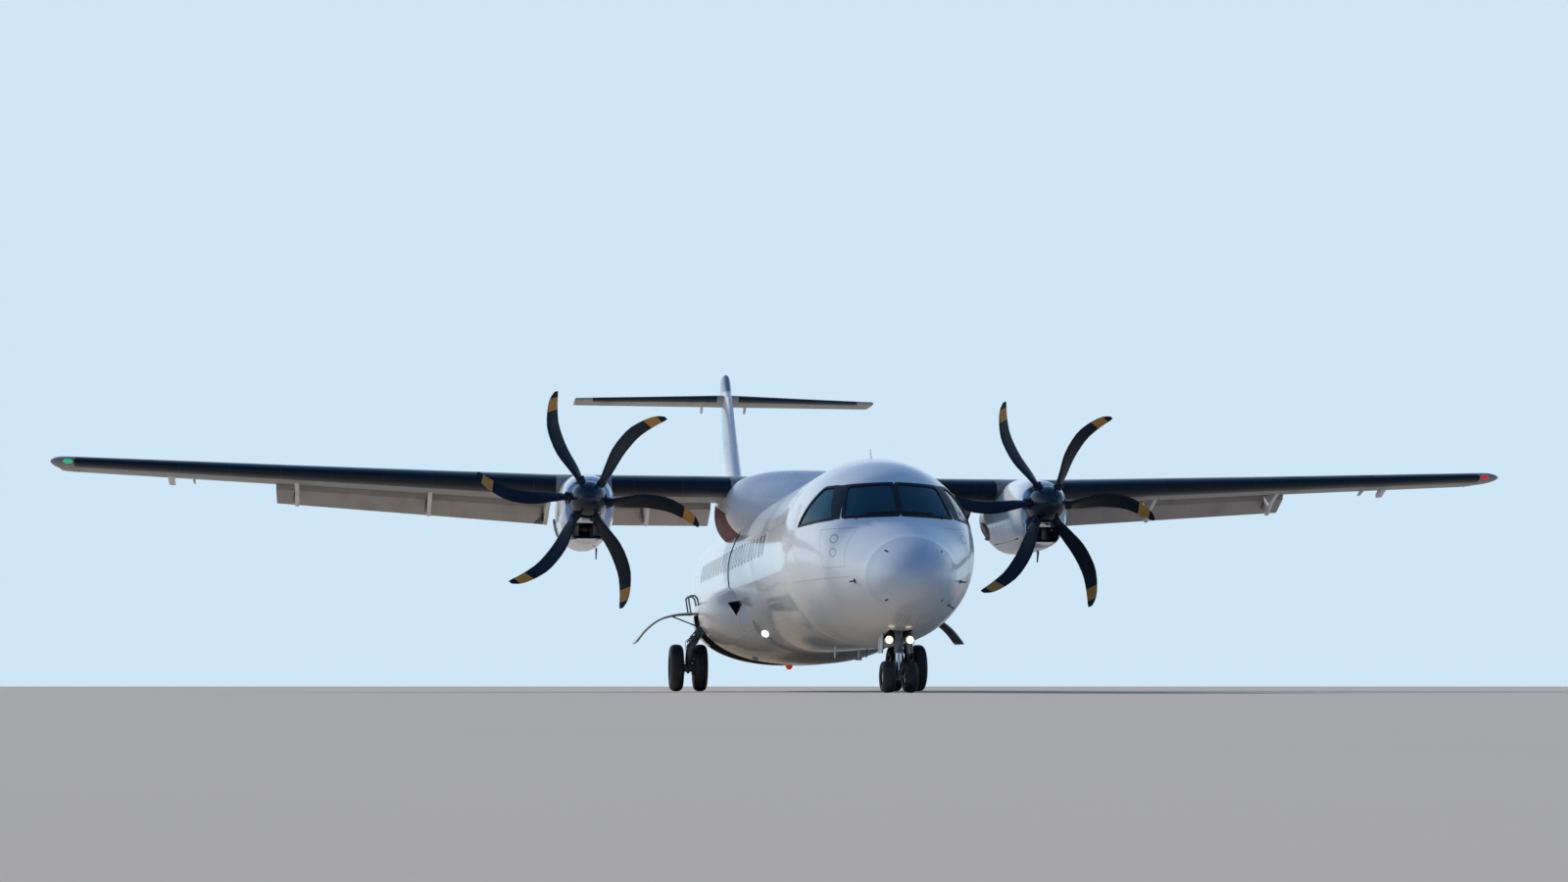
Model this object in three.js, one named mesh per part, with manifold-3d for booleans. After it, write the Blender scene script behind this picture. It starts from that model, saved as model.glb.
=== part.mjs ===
// A high-wing regional airliner with two turboprop engines, parked on its wheels with its flaps down.
// Millimetres. The nose points along -Y, the aircraft's left side is +X and the floor is Z = 0.
import * as THREE from 'three';
import { mergeVertices } from 'three/addons/utils/BufferGeometryUtils.js';
import Module from 'manifold-3d';

const wasm = await Module();
wasm.setup();

// Driving dimensions. A station is the distance aft of the nose tip.
const LENGTH = 27166;
const HALF_SPAN = 13525;
const HEIGHT = 7650;
const FUSELAGE_RADIUS = 1432.5;
const FUSELAGE_MIDDLE = 2087.5;
const ENGINE_X = 4050;
const PROPELLER_RADIUS = 1965;
const HALF_TRACK = 2050;
const NOSE_GEAR_STATION = 1880;
const MAIN_GEAR_STATION = 12650;

// Gaps: between pieces that rest on each other, at the ends of a pivot, and round what moves
const SEAT = 0.3;
const PIVOT = 0.5;
const RUNNING = 8;

const RAD = Math.PI / 180;
const AROUND_FUSELAGE = 32;
const AROUND_NACELLE = 24;
const AROUND_BAR = 10;
const AROUND_WHEEL = 20;

// Materials

function finish(color, roughness, metalness) {
  return new THREE.MeshStandardMaterial({ color, roughness, metalness });
}

const WHITE_PAINT = finish(0xeef1f3, 0.3, 0);
const GREY_PAINT = finish(0xaba79f, 0.45, 0);
const NOSE_GREY = finish(0xd4d9de, 0.4, 0);
const DARK_BLADE = finish(0x101a24, 0.35, 0);
const DARK_STEEL = finish(0x4d5256, 0.5, 0.8);
const BARE_METAL = finish(0xb9bcbe, 0.35, 0.9);
const BURNT_STEEL = finish(0x57483c, 0.55, 0.9);
const TYRE_RUBBER = finish(0x17191b, 0.9, 0);
const CABIN_PLASTIC = finish(0x2d3136, 0.8, 0);
const DARK_GLASS = finish(0x1d3441, 0.1, 0);

// Shapes: a geometry here holds only position and index, closed and with its faces pointing out

// A point at a distance left of the middle, a station and a height
function at(x, station, z) {
  return new THREE.Vector3(x, station - LENGTH / 2, z);
}

function signedVolume(positions, faces) {
  const [a, b, c] = [new THREE.Vector3(), new THREE.Vector3(), new THREE.Vector3()];
  let volume = 0;
  for (let i = 0; i < faces.length; i += 3) {
    a.fromArray(positions, 3 * faces[i]);
    b.fromArray(positions, 3 * faces[i + 1]);
    c.fromArray(positions, 3 * faces[i + 2]);
    volume += a.dot(b.cross(c)) / 6;
  }
  return volume;
}

function closedGeometry(positions, faces) {
  const outward = Array.from(faces);
  if (signedVolume(positions, outward) < 0) outward.reverse();
  const geometry = new THREE.BufferGeometry();
  geometry.setAttribute('position', new THREE.BufferAttribute(Float32Array.from(positions), 3));
  geometry.setIndex(outward);
  return geometry;
}

function ringNormal(ring) {
  const normal = new THREE.Vector3();
  ring.forEach((p, i) => normal.add(new THREE.Vector3().crossVectors(p, ring[(i + 1) % ring.length])));
  return normal;
}

// The triangles of a flat ring's end cap, turned the same way round as the ring
function capFaces(ring) {
  const normal = ringNormal(ring);
  const size = normal.toArray().map(Math.abs);
  const drop = size.indexOf(Math.max(...size));
  const [u, v] = [0, 1, 2].filter((k) => k !== drop);
  const flat = ring.map((p) => new THREE.Vector2(p.getComponent(u), p.getComponent(v)));
  const way = Math.sign(THREE.ShapeUtils.area(flat));
  return THREE.ShapeUtils.triangulateShape(flat, []).flatMap(([i, j, k]) => {
    const turn = Math.sign(THREE.ShapeUtils.area([flat[i], flat[j], flat[k]]));
    return turn === way ? [i, j, k] : [k, j, i];
  });
}

// A skin through rings of points, closed by a flat cap or a single point at each end
function loft(rings) {
  const starts = [];
  const points = [];
  for (const ring of rings) {
    starts.push(points.length);
    points.push(...ring);
  }
  const faces = [];
  for (let r = 0; r + 1 < rings.length; r += 1) {
    const [near, far] = [rings[r].length, rings[r + 1].length];
    const count = Math.max(near, far);
    for (let i = 0; i < count; i += 1) {
      const j = (i + 1) % count;
      const a = starts[r] + (i % near);
      const b = starts[r] + (j % near);
      const c = starts[r + 1] + (j % far);
      const d = starts[r + 1] + (i % far);
      if (near > 1) faces.push(a, b, c);
      if (far > 1) faces.push(a, c, d);
    }
  }
  const first = rings[0];
  const last = rings[rings.length - 1];
  if (first.length > 1) faces.push(...capFaces(first).reverse());
  if (last.length > 1) {
    faces.push(...capFaces(last).map((i) => i + starts[rings.length - 1]));
  }
  return closedGeometry(points.flatMap((p) => p.toArray()), faces);
}

// A three.js geometry with its doubled points merged, moved to its place
function placed(geometry, matrix) {
  const bare = new THREE.BufferGeometry();
  bare.setAttribute('position', geometry.getAttribute('position'));
  if (geometry.getIndex()) bare.setIndex(geometry.getIndex());
  const merged = mergeVertices(bare);
  merged.applyMatrix4(matrix);
  const index = Array.from(merged.getIndex().array);
  const faces = [];
  for (let i = 0; i < index.length; i += 3) {
    const [a, b, c] = index.slice(i, i + 3);
    if (a !== b && b !== c && c !== a) faces.push(a, b, c);
  }
  return closedGeometry(merged.getAttribute('position').array, faces);
}

// A block between two corners
function block([x0, s0, z0], [x1, s1, z1]) {
  const box = new THREE.BoxGeometry(x1 - x0, s1 - s0, z1 - z0);
  const middle = at((x0 + x1) / 2, (s0 + s1) / 2, (z0 + z1) / 2);
  return placed(box, new THREE.Matrix4().makeTranslation(middle));
}

// A round bar between two points, tapered where a second radius is given
function bar(from, to, radius, endRadius = radius, sides = AROUND_BAR) {
  const axis = new THREE.Vector3().subVectors(to, from);
  const cylinder = new THREE.CylinderGeometry(endRadius, radius, axis.length(), sides);
  const turn = new THREE.Quaternion().setFromUnitVectors(
    new THREE.Vector3(0, 1, 0),
    axis.clone().normalize(),
  );
  const middle = new THREE.Vector3().addVectors(from, to).multiplyScalar(0.5);
  return placed(cylinder, new THREE.Matrix4().compose(middle, turn, new THREE.Vector3(1, 1, 1)));
}

// A turned piece: a closed profile of [radius, distance along the axis], about an axis along X or Y
function turned(profile, axis, centre, sides) {
  const points = profile.map(([radius, along]) => new THREE.Vector2(radius, along));
  const matrix = new THREE.Matrix4().makeTranslation(centre);
  if (axis === 'X') matrix.multiply(new THREE.Matrix4().makeRotationZ(-Math.PI / 2));
  return placed(new THREE.LatheGeometry(points, sides), matrix);
}

function toSolid(geometry) {
  return new wasm.Manifold(
    new wasm.Mesh({
      numProp: 3,
      vertProperties: Float32Array.from(geometry.getAttribute('position').array),
      triVerts: Uint32Array.from(geometry.getIndex().array),
    }),
  );
}

function fromSolid(solid) {
  const mesh = solid.getMesh();
  return closedGeometry(mesh.vertProperties, mesh.triVerts);
}

function join(first, ...others) {
  return fromSolid(others.reduce((solid, other) => solid.add(toSolid(other)), toSolid(first)));
}

function cut(body, ...tools) {
  return fromSolid(tools.reduce((solid, tool) => solid.subtract(toSolid(tool)), toSolid(body)));
}

function common(first, second) {
  return fromSolid(toSolid(first).intersect(toSolid(second)));
}

// The same shape on the aircraft's right side
function mirrored(geometry) {
  const copy = geometry.clone().applyMatrix4(new THREE.Matrix4().makeScale(-1, 1, 1));
  return closedGeometry(copy.getAttribute('position').array, copy.getIndex().array);
}

// A shape turned about the line through two points
function turnedAbout(geometry, from, to, angle) {
  const axis = new THREE.Vector3().subVectors(to, from).normalize();
  const matrix = new THREE.Matrix4()
    .makeTranslation(from)
    .multiply(new THREE.Matrix4().makeRotationAxis(axis, angle))
    .multiply(new THREE.Matrix4().makeTranslation(from.clone().negate()));
  return geometry.clone().applyMatrix4(matrix);
}

const airliner = new THREE.Group();

function addPiece(name, geometry, material) {
  geometry.computeVertexNormals();
  const mesh = new THREE.Mesh(geometry, material);
  mesh.name = name;
  airliner.add(mesh);
}

// A piece made for the left side, and its mirror image on the right
function addPair(name, geometry, material) {
  addPiece(`${name}_left`, geometry, material);
  addPiece(`${name}_right`, mirrored(geometry), material);
}

// Ovals: the upright sections of the fuselage, fairings and nacelles

// A closed outline of half width, rise above and depth below its widest line
function ovalRing(section, { grow = 0, x = 0, count = AROUND_FUSELAGE, power = 2 } = {}) {
  const [station, middle, rise, depth, halfWidth] = section;
  if (halfWidth === 0) return [at(x, station, middle)];
  const round = (value) => Math.sign(value) * Math.abs(value) ** (2 / power);
  return Array.from({ length: count }, (_, i) => {
    const angle = (2 * Math.PI * i) / count;
    const up = round(Math.sin(angle));
    const height = up > 0 ? rise + grow : depth + grow;
    return at(x + (halfWidth + grow) * round(Math.cos(angle)), station, middle + height * up);
  });
}

// The section of a table at any station, between the two rows that hold it
function sectionAt(table, station) {
  const next = table.findIndex((row) => row[0] >= station);
  const [before, after] = [table[Math.max(next - 1, 0)], table[next]];
  const share = after === before ? 0 : (station - before[0]) / (after[0] - before[0]);
  return before.map((value, k) => value + share * (after[k] - value));
}

function ovalBody(table, from, to, options = {}) {
  const inside = table.filter(([station]) => station > from && station < to);
  const sections = [sectionAt(table, from), ...inside, sectionAt(table, to)];
  return loft(sections.map((section) => ovalRing(section, options)));
}

// Fuselage sections: station, height of the widest line, rise above it, depth below it, half width
const FUSELAGE = [
  [0, 1560, 0, 0, 0],
  [50, 1560, 150, 150, 180],
  [200, 1570, 280, 280, 340],
  [450, 1585, 410, 400, 490],
  [850, 1610, 540, 540, 640],
  [1300, 1700, 630, 770, 820],
  [1660, 1787, 713, 918, 965],
  [1920, 1850, 920, 1020, 1080],
  [2500, 1970, 1230, 1220, 1230],
  [3200, 2060, 1360, 1380, 1370],
  [4000, FUSELAGE_MIDDLE, FUSELAGE_RADIUS, FUSELAGE_RADIUS, FUSELAGE_RADIUS],
  [16200, FUSELAGE_MIDDLE, FUSELAGE_RADIUS, FUSELAGE_RADIUS, FUSELAGE_RADIUS],
  [17200, 2095, 1425, 1395, 1432.5],
  [18000, 2110, 1410, 1310, 1430],
  [18700, 2140, 1380, 1210, 1410],
  [19800, 2220, 1300, 1020, 1350],
  [21500, 2400, 1110, 750, 1170],
  [23000, 2620, 870, 570, 910],
  [24500, 2850, 600, 390, 600],
  [25600, 2990, 360, 240, 330],
  [26400, 3080, 130, 110, 110],
];
const RADOME_END = 850;
const COCKPIT_END = 4000;
const CENTRE_START = 9000;
const CENTRE_END = 16200;
const TAIL_START = 19800;
const TAIL_END = 26400;

function fuselageSkin(from, to, grow = 0) {
  return ovalBody(FUSELAGE, from, to, { grow });
}

// Radome

addPiece('radome', fuselageSkin(0, RADOME_END - SEAT), NOSE_GREY);

// Cockpit: a hollow nose with its windows cut, one band of glass behind them and a flight deck

const COCKPIT_WALL = 60;
const GLASS_FROM = 12;
const GLASS_TO = 40;
const DECK_HEIGHT = 1600;
const BULKHEAD_STATION = COCKPIT_END - 100;
const NOSE_BAY = { halfWidth: 170, from: 1640, to: 2330, top: 1050 };

// Window corners, left side. Front panes: [distance from the middle, height].
const FRONT_PANE = [
  [28, 2515],
  [28, 2975],
  [655, 2985],
  [790, 2500],
];
// Side panes: [station, height]
const SIDE_PANE = [
  [2045, 2480],
  [2590, 2975],
  [2860, 2975],
  [3000, 2430],
];

function panePrism(corners, place, near, far) {
  return loft([near, far].map((depth) => corners.map((corner) => place(corner, depth))));
}

// Round pads with flat feet, where jacks lift the aircraft
const NOSE_JACK = { station: 3400, foot: 640 };
const BELLY_JACK = { x: 950, station: 11400, foot: 560 };
const JACK_RADIUS = 60;

function jackPad(x, station, foot, top) {
  return bar(at(x, station, foot), at(x, station, top), JACK_RADIUS);
}

const frontPane = panePrism(FRONT_PANE, ([x, z], station) => at(x, station, z), 1500, 2650);
const sidePane = panePrism(SIDE_PANE, ([station, z], x) => at(x, station, z), 480, 1500);

// The layer that the glass fills, a little larger all round where it is the groove for the glass
function glassLayer(grow) {
  const layer = cut(
    fuselageSkin(RADOME_END + 400, BULKHEAD_STATION, grow - GLASS_FROM),
    fuselageSkin(RADOME_END + 300, COCKPIT_END, -grow - GLASS_TO),
  );
  return common(
    layer,
    block([-1500, 1560 - grow, 2380 - grow], [1500, 3080 + grow, 3060 + grow]),
  );
}

const cockpitRoom = common(
  fuselageSkin(RADOME_END + 350, BULKHEAD_STATION, -COCKPIT_WALL),
  block([-1500, 1000, DECK_HEIGHT], [1500, COCKPIT_END, 3600]),
);
const cockpitShell = cut(
  join(
    fuselageSkin(RADOME_END, COCKPIT_END - SEAT),
    jackPad(0, NOSE_JACK.station, NOSE_JACK.foot, NOSE_JACK.foot + 200),
  ),
  cockpitRoom,
  glassLayer(0),
  frontPane,
  mirrored(frontPane),
  sidePane,
  mirrored(sidePane),
  block(
    [-NOSE_BAY.halfWidth, NOSE_BAY.from, 0],
    [NOSE_BAY.halfWidth, NOSE_BAY.to, NOSE_BAY.top],
  ),
);
addPiece('cockpit_shell', cockpitShell, WHITE_PAINT);
addPiece('cockpit_glazing', glassLayer(-SEAT), DARK_GLASS);

// A pilot's seat: its post, cushion, back and headrest, as [half width, stations, heights]
const SEAT_X = 450;
const SEAT_PARTS = [
  [90, 2850, 3150, DECK_HEIGHT, 1980],
  [240, 2740, 3220, 1960, 2080],
  [240, 3140, 3270, 2050, 2620],
  [130, 3170, 3250, 2600, 2800],
];

const seatBlocks = [-SEAT_X, SEAT_X].flatMap((x) =>
  SEAT_PARTS.map(([halfWidth, s0, s1, z0, z1]) =>
    block([x - halfWidth, s0, z0 + SEAT], [x + halfWidth, s1, z1]),
  ),
);
const flightDeck = join(
  block([-900, 1950, DECK_HEIGHT + SEAT], [900, BULKHEAD_STATION - SEAT, DECK_HEIGHT + 40]),
  block([-720, 2060, DECK_HEIGHT + SEAT], [720, 2160, 2420]),
  block([-720, 2000, 2400], [720, 2300, 2440]),
  block([-130, 2140, DECK_HEIGHT + SEAT], [130, 2640, 2120]),
  ...seatBlocks,
);
addPiece('flight_deck', flightDeck, CABIN_PLASTIC);

// Doors: each opening leads to a room inside the fuselage

const DOOR_WALL = 90;
const CARGO_DOOR = { from: 4200, to: 5475, bottom: 1140, top: 2670 };
const PASSENGER_DOOR = { from: 17800, to: 18620, bottom: 1140, top: 2890 };
const SERVICE_DOOR = { from: 17900, to: 18510, bottom: 1140, top: 2360 };
const ROOM_MARGIN = 60;
const ROOM_TOP = 3150;

// The space that a door covers, from near the middle of the fuselage to outside its skin
function doorway(door, gap, fromX, toX) {
  return block(
    [fromX, door.from + gap, door.bottom + gap],
    [toX, door.to - gap, door.top - gap],
  );
}

function doorRoom(door) {
  return common(
    fuselageSkin(door.from - ROOM_MARGIN, door.to + ROOM_MARGIN, -DOOR_WALL),
    block([-1500, door.from - 100, door.bottom], [1500, door.to + 100, ROOM_TOP]),
  );
}

// The core of the fuselage behind a door, a wall's thickness and a gap inside the skin
function doorCore(door, gap) {
  return fuselageSkin(door.from - 150, door.to + 150, -DOOR_WALL - gap);
}

function doorPanel(door, gap) {
  const skin = cut(fuselageSkin(door.from - 100, door.to + 100), doorCore(door, 0));
  return common(skin, doorway(door, gap, 300, 1600));
}

// A hinge along the fuselage: knuckles on the body at the ends, and on the door between them
function knuckle({ x, z }, from, to, radius) {
  return bar(at(x, from, z), at(x, to, z), radius, radius, 8);
}

const CARGO_HINGE = { x: 1332, z: 2694 };
const CARGO_KNUCKLES = [4420, 5130];
const PASSENGER_HINGE = { x: 1042, z: 1106 };
const PASSENGER_KNUCKLES = [17950, 18330];
const KNUCKLE_LENGTH = 120;
const KNUCKLE_END = 60;

function fixedKnuckles(hinge, starts, radius, lug) {
  return starts.flatMap((start) => [
    knuckle(hinge, start - KNUCKLE_END, start, radius),
    knuckle(hinge, start + KNUCKLE_LENGTH, start + KNUCKLE_LENGTH + KNUCKLE_END, radius),
    lug(start - KNUCKLE_END, start),
    lug(start + KNUCKLE_LENGTH, start + KNUCKLE_LENGTH + KNUCKLE_END),
  ]);
}

function movingKnuckles(hinge, starts, radius, lug) {
  return starts.flatMap((start) => {
    const [from, to] = [start + PIVOT, start + KNUCKLE_LENGTH - PIVOT];
    return [knuckle(hinge, from, to, radius), lug(from, to)];
  });
}

// Cargo door, front left, hinged along its top
const cargoDoor = join(
  doorPanel(CARGO_DOOR, RUNNING),
  ...movingKnuckles(CARGO_HINGE, CARGO_KNUCKLES, 15, (from, to) =>
    block([1322, from, 2600], [1342, to, 2694]),
  ),
);
addPiece('cargo_door', cargoDoor, WHITE_PAINT);

const fuselageFront = join(
  cut(
    fuselageSkin(COCKPIT_END, CENTRE_START - SEAT),
    doorRoom(CARGO_DOOR),
    doorway(CARGO_DOOR, 0, 300, 1600),
  ),
  ...fixedKnuckles(CARGO_HINGE, CARGO_KNUCKLES, 15, (from, to) =>
    block([1270, from, 2684], [1332, to, 2704]),
  ),
);
addPiece('fuselage_front', fuselageFront, WHITE_PAINT);

// Passenger door with its steps, rear left, hinged along its sill
const passengerDoor = join(
  doorPanel(PASSENGER_DOOR, RUNNING),
  ...movingKnuckles(PASSENGER_HINGE, PASSENGER_KNUCKLES, 15, (from, to) =>
    join(
      block([1030, from, 1100], [1054, to, 1220]),
      block([930, from, 1160], [1054, to, 1220]),
    ),
  ),
);
addPiece('passenger_door', passengerDoor, WHITE_PAINT);

const servicePanel = doorPanel(SERVICE_DOOR, SEAT);
addPiece('service_door', mirrored(servicePanel), WHITE_PAINT);

const fuselageRear = join(
  cut(
    fuselageSkin(CENTRE_END, TAIL_START - SEAT),
    doorRoom(PASSENGER_DOOR),
    doorway(PASSENGER_DOOR, 0, 300, 1600),
    mirrored(cut(doorway(SERVICE_DOOR, 0, 300, 1600), doorCore(SERVICE_DOOR, SEAT))),
  ),
  ...fixedKnuckles(PASSENGER_HINGE, PASSENGER_KNUCKLES, 15, (from, to) =>
    block([760, from, 1090], [1042, to, 1118]),
  ),
);
addPiece('fuselage_rear', fuselageRear, WHITE_PAINT);

// Tail cone: a shell, open towards the cabin

const tailCone = cut(
  fuselageSkin(TAIL_START, TAIL_END),
  fuselageSkin(TAIL_START - 200, 24600, -DOOR_WALL),
);

// Wing: one straight centre section and two tapered outer wings

const ROOT_CHORD = 2570;
const TIP_CHORD = 1590;
const WING_STATION = 11430;
const WING_HEIGHT = 3700;
const INCIDENCE = 2 * RAD;
const DIHEDRAL = 2.5 * RAD;
const LEADING_SWEEP = 3.1 * RAD;
const BREAK_X = 4600;
const ROOT_THICKNESS = 0.18;
const TIP_THICKNESS = 0.13;
const WING_CAMBER = 0.02;
const SECTION_STEPS = 10;

// Half the thickness of a section at a share of its chord, with a blunt trailing edge
function halfThickness(share, thickness) {
  const x = Math.min(Math.max(share, 0), 1);
  const curve = 0.2969 * Math.sqrt(x) - 0.126 * x - 0.3516 * x ** 2 + 0.2843 * x ** 3 - 0.1036 * x ** 4;
  return 5 * thickness * curve + 0.002 * x;
}

function heightOn(side, share, thickness, camber) {
  return 4 * camber * share * (1 - share) + side * halfThickness(share, thickness);
}

// Outline of a section, [aft, up] as shares of the chord, from the trailing edge over the top
function sectionOutline(thickness, camber) {
  const shares = Array.from(
    { length: SECTION_STEPS + 1 },
    (_, i) => (1 - Math.cos((Math.PI * i) / SECTION_STEPS)) / 2,
  );
  const top = shares.toReversed().map((x) => [x, heightOn(1, x, thickness, camber)]);
  const bottom = shares.slice(1).map((x) => [x, heightOn(-1, x, thickness, camber)]);
  return [...top, ...bottom];
}

// An outline that runs anticlockwise, moved outwards by a distance
function grown(outline, distance) {
  if (distance === 0) return outline;
  return outline.map(([u, w], i) => {
    const [u0, w0] = outline[(i + outline.length - 1) % outline.length];
    const [u1, w1] = outline[(i + 1) % outline.length];
    const length = Math.hypot(u1 - u0, w1 - w0);
    return [u + (distance * (w1 - w0)) / length, w - (distance * (u1 - u0)) / length];
  });
}

function outboard(x) {
  return Math.max(x - BREAK_X, 0);
}

function wingChord(x) {
  return ROOT_CHORD - ((ROOT_CHORD - TIP_CHORD) * outboard(x)) / (HALF_SPAN - BREAK_X);
}

function wingThickness(x) {
  return ROOT_THICKNESS - ((ROOT_THICKNESS - TIP_THICKNESS) * outboard(x)) / (HALF_SPAN - BREAK_X);
}

// A point of the left wing, from its leading edge at that place along the span
function wingPoint(x, aft, up) {
  const station = WING_STATION + Math.tan(LEADING_SWEEP) * outboard(x);
  const height = WING_HEIGHT + Math.tan(DIHEDRAL) * outboard(x);
  return at(
    x,
    station + aft * Math.cos(INCIDENCE) + up * Math.sin(INCIDENCE),
    height - aft * Math.sin(INCIDENCE) + up * Math.cos(INCIDENCE),
  );
}

function wingHeightOn(side, x, share) {
  return wingChord(x) * heightOn(side, share, wingThickness(x), WING_CAMBER);
}

function wingRing(x, grow = 0, scale = 1, flatten = 1) {
  const chord = wingChord(x) * scale;
  const shift = (wingChord(x) - chord) * 0.55;
  const outline = sectionOutline(wingThickness(x) * flatten, WING_CAMBER).map(([u, w]) => [
    shift + u * chord,
    w * chord,
  ]);
  return grown(outline, grow).map(([u, w]) => wingPoint(x, u, w));
}

// A shape along the span whose outline is given by a function of the place along the span
function alongWing(outline, from, to) {
  return loft([from, to].map((x) => outline(x).map(([u, w]) => wingPoint(x, u, w))));
}

// A flat plate square to a hinge line, drawn as [aft, up] in the wing's own directions.
// It lies between two distances along the hinge line from the point that is given.
function hingePlate(x, { pivot, along }, from, to, outline) {
  return loft(
    [from, to].map((distance) =>
      outline.map(([u, w]) => {
        const point = wingPoint(x, u, w);
        const off = along.dot(new THREE.Vector3().subVectors(pivot, point));
        return point.addScaledVector(along, off + distance);
      }),
    ),
  );
}

// Flaps: hinged below the wing, their noses under a shroud, here turned down as for landing

const FLAP_DOWN = 30 * RAD;
const FLAP_FROM = 0.7;
const SHROUD_TO = 0.8;
const SHROUD_THICK = 0.012;
const FLAP_PIVOT = 0.17;
const INNER_FLAP = { from: 1560, to: 3490, brackets: [2820] };
const OUTER_FLAP = { from: 4640, to: 9650, brackets: [4700, 6860, 9260] };
const BRACKET_HALF = 25;
const ARM_THICK = 40;
const ARM_GAP = 6;
const PIVOT_RADIUS = 60;

// The space behind the wing's rear spar that a flap fills, below the shroud
function flapBay(x) {
  const chord = wingChord(x);
  const front = FLAP_FROM * chord - RUNNING;
  const under = (share) => wingHeightOn(1, x, share) - SHROUD_THICK * chord;
  return [
    [front, -chord],
    [1.3 * chord, -chord],
    [1.3 * chord, chord],
    [SHROUD_TO * chord, chord],
    [SHROUD_TO * chord, under(SHROUD_TO)],
    [front, under(FLAP_FROM)],
  ];
}

function flapOutline(x) {
  const chord = wingChord(x);
  const top = (share) => wingHeightOn(1, x, share);
  const bottom = (share) => wingHeightOn(-1, x, share);
  const step = SHROUD_THICK * chord + RUNNING;
  const middle = (top(0.71) + bottom(0.71)) / 2;
  const nose = top(0.71) - step - middle;
  return [
    [chord, top(1)],
    [0.9 * chord, top(0.9)],
    [SHROUD_TO * chord + RUNNING + 4, top(0.81)],
    [SHROUD_TO * chord + RUNNING, top(SHROUD_TO) - step - 4],
    [0.745 * chord, top(0.745) - step],
    [0.716 * chord, middle + 0.72 * nose],
    [0.703 * chord, middle],
    [0.716 * chord, middle - 0.75 * nose],
    [0.745 * chord, bottom(0.745)],
    [0.85 * chord, bottom(0.85)],
    [chord, bottom(1)],
  ];
}

function flapPivot(x) {
  return wingPoint(x, FLAP_FROM * wingChord(x), -FLAP_PIVOT * wingChord(x));
}

function flapHinge({ from, to }, x) {
  const along = new THREE.Vector3().subVectors(flapPivot(to), flapPivot(from)).normalize();
  return { pivot: flapPivot(x), along };
}

// A bracket under the wing down to the flap's pivot, with a boss on its outboard side
function flapBracket(span, x) {
  const chord = wingChord(x);
  const [u, w] = [FLAP_FROM * chord, -FLAP_PIVOT * chord];
  const hinge = flapHinge(span, x);
  const plate = hingePlate(x, hinge, -BRACKET_HALF, BRACKET_HALF, [
    [0.42 * chord, -0.045 * chord],
    [u - 0.6 * PIVOT_RADIUS, w - 0.8 * PIVOT_RADIUS],
    [u + 0.4 * PIVOT_RADIUS, w - 0.9 * PIVOT_RADIUS],
    [u + PIVOT_RADIUS, w],
    [u - RUNNING - 6, -0.05 * chord],
    [u - RUNNING - 6, -0.03 * chord],
  ]);
  const { pivot, along } = hinge;
  const bossEnd = pivot.clone().addScaledVector(along, BRACKET_HALF + ARM_GAP - PIVOT);
  return join(plate, bar(pivot, bossEnd, 40));
}

function flapArm(span, x) {
  const chord = wingChord(x);
  const [u, w] = [FLAP_FROM * chord, -FLAP_PIVOT * chord];
  const from = BRACKET_HALF + ARM_GAP;
  return hingePlate(x, flapHinge(span, x), from, from + ARM_THICK, [
    [u - 0.8 * PIVOT_RADIUS, w],
    [u, w - PIVOT_RADIUS],
    [u + PIVOT_RADIUS, w - 0.5 * PIVOT_RADIUS],
    [0.9 * chord, -0.012 * chord],
    [0.75 * chord, -0.03 * chord],
  ]);
}

// Lowered is a turn with the trailing edge down, about the line through the flap's pivots
function flap(span) {
  const { from, to, brackets } = span;
  const arms = brackets.map((x) => flapArm(span, x));
  const raised = join(alongWing(flapOutline, from, to), ...arms);
  return turnedAbout(raised, flapPivot(from), flapPivot(to), -FLAP_DOWN);
}

// Ailerons: hinged at the middle of their own thickness, in a round hollow of the wing

const AILERON = { from: 9750, to: 13180 };
const AILERON_HINGE = 0.72;

// An outline that is an open box behind a hinge, with a half round front about the hinge
function hingeBay(hingeAft, hingeUp, radius, reach) {
  const arc = [0, 1, 2, 3, 4, 5, 6].map((i) => {
    const angle = Math.PI / 2 + (i * Math.PI) / 6;
    return [hingeAft + radius * Math.cos(angle), hingeUp + radius * Math.sin(angle)];
  });
  return [
    ...arc,
    [hingeAft, hingeUp - reach],
    [hingeAft + 2 * reach, hingeUp - reach],
    [hingeAft + 2 * reach, hingeUp + reach],
    [hingeAft, hingeUp + reach],
  ];
}

// A control surface behind its hinge, its nose round about the hinge
function hingedOutline(chord, hinge, thickness, camber) {
  const radius = halfThickness(hinge, thickness) * chord;
  const up = heightOn(0, hinge, thickness, camber) * chord;
  const arc = [0, 1, 2, 3, 4, 5, 6].map((i) => {
    const angle = Math.PI / 2 + (i * Math.PI) / 6;
    return [hinge * chord + radius * Math.cos(angle), up + radius * Math.sin(angle)];
  });
  return [
    [chord, heightOn(1, 1, thickness, camber) * chord],
    ...arc,
    [chord, heightOn(-1, 1, thickness, camber) * chord],
  ];
}

function aileronHinge(x) {
  const chord = wingChord(x);
  return [AILERON_HINGE * chord, heightOn(0, AILERON_HINGE, wingThickness(x), WING_CAMBER) * chord];
}

function aileronBay(x) {
  const chord = wingChord(x);
  const radius = halfThickness(AILERON_HINGE, wingThickness(x)) * chord + RUNNING;
  return hingeBay(...aileronHinge(x), radius, 0.6 * chord);
}

const END_GAP = 20;
const STUB_RADIUS = 12;

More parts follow.
